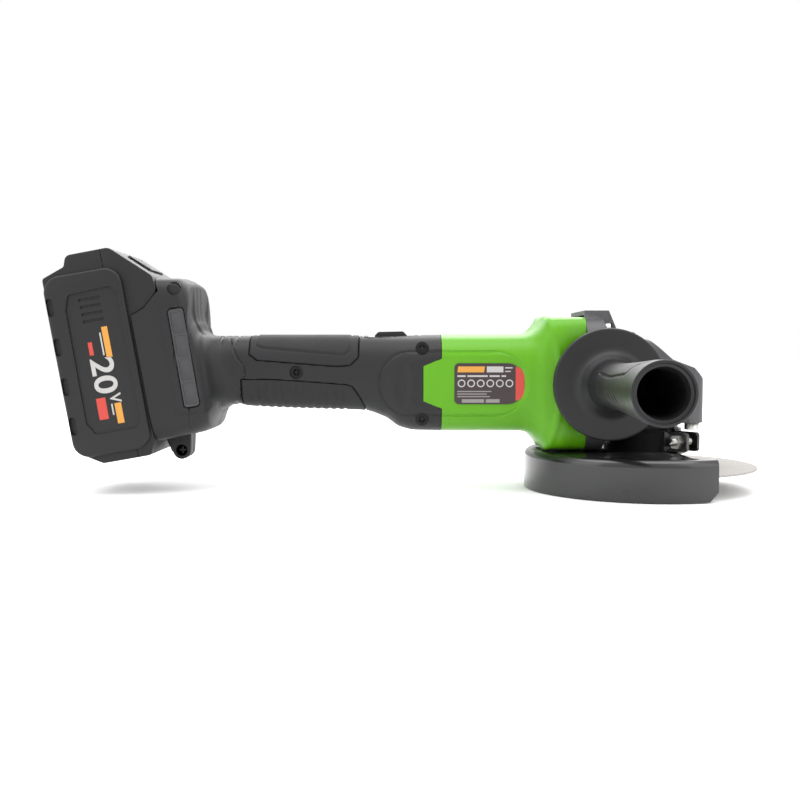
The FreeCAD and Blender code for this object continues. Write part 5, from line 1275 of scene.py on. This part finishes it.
class GRINDER_OT_handle(GrinderOperator, bpy.types.Operator):
    """Build the side handle"""
    bl_idname = "grinder.handle"
    bl_label = "Side handle"

    def build(self, sizes, colours):
        near, far = float(HANDLE_HIGH[1]), float(HANDLE_LOW[1])
        outside = [
            (4.2, near, 0.2), (12.4, near, 0.5), (29.9, near - 0.6, 0.6), (29.9, near - 5.0, 1.2),
            (17.5, near - 5.6, 6.0), (13.0, near - 12.0, 6.0), (11.8, near - 24.0, 8.0),
            (11.8, near - 44.0, 14.0), (12.9, near - 76.0, 20.0), (14.2, far + 12.0, 8.0), (14.3, far, 1.2),
            (13.0, far, 0.4), (12.7, far + 1.6, 0.3), (11.4, far + 2.0, 0.4), (10.6, far + 6.0, 0.6),
            (9.8, far + 72.0, 2.0), (4.2, far + 76.0, 0.3)]
        profile = resampled(turned_ring(outside, 6), 0.7)
        handle = lathe("side_handle_skin", profile, (HANDLE_X, 0, AXIS), "y", 180)
        self.grooves(handle, near)
        smooth(handle, 35.0)
        done(handle, "side_handle", "handle_plastic", "side_handle_grip")


    def grooves(self, handle, near):
        """Long curved grooves and short slanted ones, pressed into the grip's skin."""
        spots = np.empty(len(handle.data.vertices) * 3)
        handle.data.vertices.foreach_get("co", spots)
        spots = spots.reshape(-1, 3) / MM
        dx, dz = spots[:, 0] - HANDLE_X, spots[:, 2] - AXIS
        radius, turn = np.hypot(dx, dz), np.degrees(np.arctan2(dz, -dx))
        run = near - spots[:, 1]
        sink = np.zeros(len(spots))
        long_path = [(26.0, 33.0), (53.0, 26.0), (88.0, 34.0), (95.0, 61.0), (107.0, 72.0)]
        slants = [[(48.0 + 8.0 * k, -12.0), (54.0 + 8.0 * k, -34.0)] for k in range(4)]
        for half_turn in (0.0, 180.0):
            local = (turn - half_turn + 180.0) % 360.0 - 180.0
            for path, wide, deep in [(long_path, 1.1, 0.8)] + [(slant, 1.0, 0.7) for slant in slants]:
                arc = [(place, math.radians(angle) * 12.5) for place, angle in path]
                apart = from_line(run, np.radians(local) * 12.5, arc)
                sink = np.maximum(sink, deep * (1 - ease(wide * 0.4, wide, apart)))
        sink = np.where((radius > 11.3) & (run > 20.0), sink, 0.0)
        spots[:, 0] -= dx / np.maximum(radius, 1e-6) * sink
        spots[:, 2] -= dz / np.maximum(radius, 1e-6) * sink
        handle.data.vertices.foreach_set("co", (spots * MM).ravel())
        handle.data.update()


class GRINDER_OT_switch(GrinderOperator, bpy.types.Operator):
    """Build the slide switch's thumb piece"""
    bl_idname = "grinder.switch"
    bl_label = "Slide switch"

    def build(self, sizes, colours):
        low, high = node_box("switch_slider")
        top, front, back = float(high[2]), float(high[0]), float(low[0])
        mid = (front + back) / 2
        outline = [(mid - 9.0, top - 4.0), (mid - 9.5, top - 2.5), (mid - 7.5, top - 0.3), (mid + 6.5, top),
                   (mid + 9.0, top - 2.5), (mid + 9.0, top - 4.0)]
        profile = rounded_corners(outline, [0.1, 0.8, 2.0, 1.6, 0.8, 0.1], 5)
        thumb = prism("switch_slider_skin", profile, -6.3, 6.3)
        for place in range(4):
            x = mid - 5.0 + 3.2 * place
            boolean(thumb, block("rib", (x - 0.6, -4.6, top - 0.75), (x + 0.6, 4.6, top + 2.0), 0.3, "z"))
        bevel(thumb, 0.5, 3, 40)
        plate = block("switch_plate", (back + 0.1, -7.0, top - 6.2), (front - 0.1, 7.0, top - 3.9), 2.0, "z")
        made = tidy_normals(joined([thumb, plate], "switch_slider_skin"))
        smooth(made, 35.0)
        done(made, "power_switch", "charcoal_plastic", "switch_slider")


class GRINDER_OT_machined(GrinderOperator, bpy.types.Operator):
    """Give the turned, cast and small pieces their finished surfaces"""
    bl_idname = "grinder.machined"
    bl_label = "Metal and small pieces"

    def build(self, sizes, colours):
        made_already = {"grip_pad_upper", "grip_pad_lower", "motor_housing", "battery_case", "battery_cover",
                        "side_handle_grip", "switch_slider"}
        for paired in ("grip_shell_", "name_plate_", "battery_side_", "air_filter_cover_"):
            made_already |= {paired + "near", paired + "far"}
        slots = {part["node"]: part["material_slot"] for part in frame["record"]["subparts"]}
        members = frame["record"]["behaviour"]["bodies"]
        bodies = {node: body for body, nodes in members.items() for node in nodes}
        springs = {"spindle_lock_spring", "release_springs"}
        for node, source in frame["nodes"].items():
            if node in made_already or node in springs:
                continue
            copy = source.copy()
            copy.data = source.data.copy()
            copy.name = node + "_finished"
            copy.parent = None
            for key in list(copy.keys()):
                del copy[key]
            bpy.context.collection.objects.link(copy)
            tidy_normals(copy)
            smooth(copy, 28.0)
            done(copy, bodies[node], slots[node], node)


class GRINDER_OT_stage(GrinderOperator, bpy.types.Operator):
    """Set the floor, the lights and the camera"""
    bl_idname = "grinder.stage"
    bl_label = "Stage"

    def build(self, sizes, colours):
        self.floor(sizes.floor_size)
        self.lights()
        self.camera()
        bpy.context.scene.view_settings.view_transform = "Standard"
        bpy.context.scene.view_settings.look = "None"

    def floor(self, width):
        """Plain white floor and a white surround."""
        low = float(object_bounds()[0][2]) - 0.0005
        half = width / 2
        mesh = bpy.data.meshes.new("floor")
        mesh.from_pydata([(-half, -half, low), (half, -half, low), (half, half, low), (-half, half, low)], [],
                         [(0, 1, 2, 3)])
        floor = bpy.data.objects.new("floor", mesh)
        bpy.context.collection.objects.link(floor)
        paint = Finish("floor_white", (0.96, 0.96, 0.96), 0.9, specular_ior_level=0.1)
        paint.roughness(paint.between(paint.noise(3.0), 0.8, 0.9))
        mesh.materials.append(paint.material)
        world = bpy.data.worlds.new("studio")
        bpy.context.scene.world = world
        world.use_nodes = True
        back = world.node_tree.nodes["Background"]
        back.inputs["Color"].default_value = (1.0, 1.0, 1.0, 1.0)
        back.inputs["Strength"].default_value = 1.0
        floor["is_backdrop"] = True

    def lights(self):
        """Four wide soft lamps and a soft sun from above."""
        spots = (
            ("key_top", (-0.14, -0.12, 0.75), (-0.14, 0.0, 0.05), 1.1, 0.5, 5.0),
            ("rim_back", (-0.14, 0.65, 0.55), (-0.14, 0.0, 0.07), 1.2, 0.5, 6.0),
            ("side_left", (-0.85, -0.35, 0.35), (-0.3, 0.0, 0.06), 0.5, 0.8, 1.6),
            ("side_right", (0.55, -0.5, 0.4), (-0.02, 0.0, 0.04), 0.5, 0.8, 1.6),
        )
        for name, place, aim, wide, tall, power in spots:
            light = bpy.data.lights.new(name, "AREA")
            light.shape = "RECTANGLE"
            light.size, light.size_y, light.energy = wide, tall, power
            lamp = bpy.data.objects.new(name, light)
            lamp.location = place
            lamp.rotation_euler = (Vector(aim) - Vector(place)).to_track_quat("-Z", "Y").to_euler()
            bpy.context.collection.objects.link(lamp)
            lamp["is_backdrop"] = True
        sky = bpy.data.lights.new("sky_soft", "SUN")
        sky.energy, sky.angle = 0.55, math.radians(150)
        sky_lamp = bpy.data.objects.new("sky_soft", sky)
        bpy.context.collection.objects.link(sky_lamp)
        sky_lamp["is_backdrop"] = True

    def camera(self):
        """Camera on the near side, a little above the tool."""
        lens = bpy.data.cameras.new("camera")
        lens.lens = 45.81
        lens.sensor_width = 36.0
        lens.clip_start = 0.01
        camera = bpy.data.objects.new("camera", lens)
        camera.location = (-0.1382, -0.580, 0.0648)
        camera.rotation_euler = (math.radians(90 - 2.81), 0, 0)
        bpy.context.collection.objects.link(camera)
        bpy.context.scene.camera = camera
        camera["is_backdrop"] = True


class GRINDER_PT_panel(bpy.types.Panel):
    """Sizes, colours and the steps in order"""
    bl_idname = "GRINDER_PT_panel"
    bl_label = "Angle grinder"
    bl_space_type = "VIEW_3D"
    bl_region_type = "UI"
    bl_category = "Grinder"

    def draw(self, context):
        for group in (context.scene.grinder_sizes, context.scene.grinder_colours):
            for name in group.__annotations__:
                self.layout.prop(group, name)
        for step in STEPS:
            self.layout.operator(step.bl_idname)


STEPS = (GRINDER_OT_finishes, GRINDER_OT_nose, GRINDER_OT_name_plates, GRINDER_OT_grip, GRINDER_OT_pads,
         GRINDER_OT_battery, GRINDER_OT_handle, GRINDER_OT_switch, GRINDER_OT_machined, GRINDER_OT_stage)
CLASSES = (GrinderSizes, GrinderColours) + STEPS + (GRINDER_PT_panel,)


def register():
    for cls in CLASSES:
        bpy.utils.register_class(cls)
    bpy.types.Scene.grinder_sizes = bpy.props.PointerProperty(type=GrinderSizes)
    bpy.types.Scene.grinder_colours = bpy.props.PointerProperty(type=GrinderColours)


def unregister():
    del bpy.types.Scene.grinder_colours
    del bpy.types.Scene.grinder_sizes
    for cls in reversed(CLASSES):
        bpy.utils.unregister_class(cls)


def main():
    """Builds everything in order."""
    register()
    for step in STEPS:
        group, name = step.bl_idname.split(".")
        getattr(getattr(bpy.ops, group), name)()


if __name__ == "__main__":
    main()
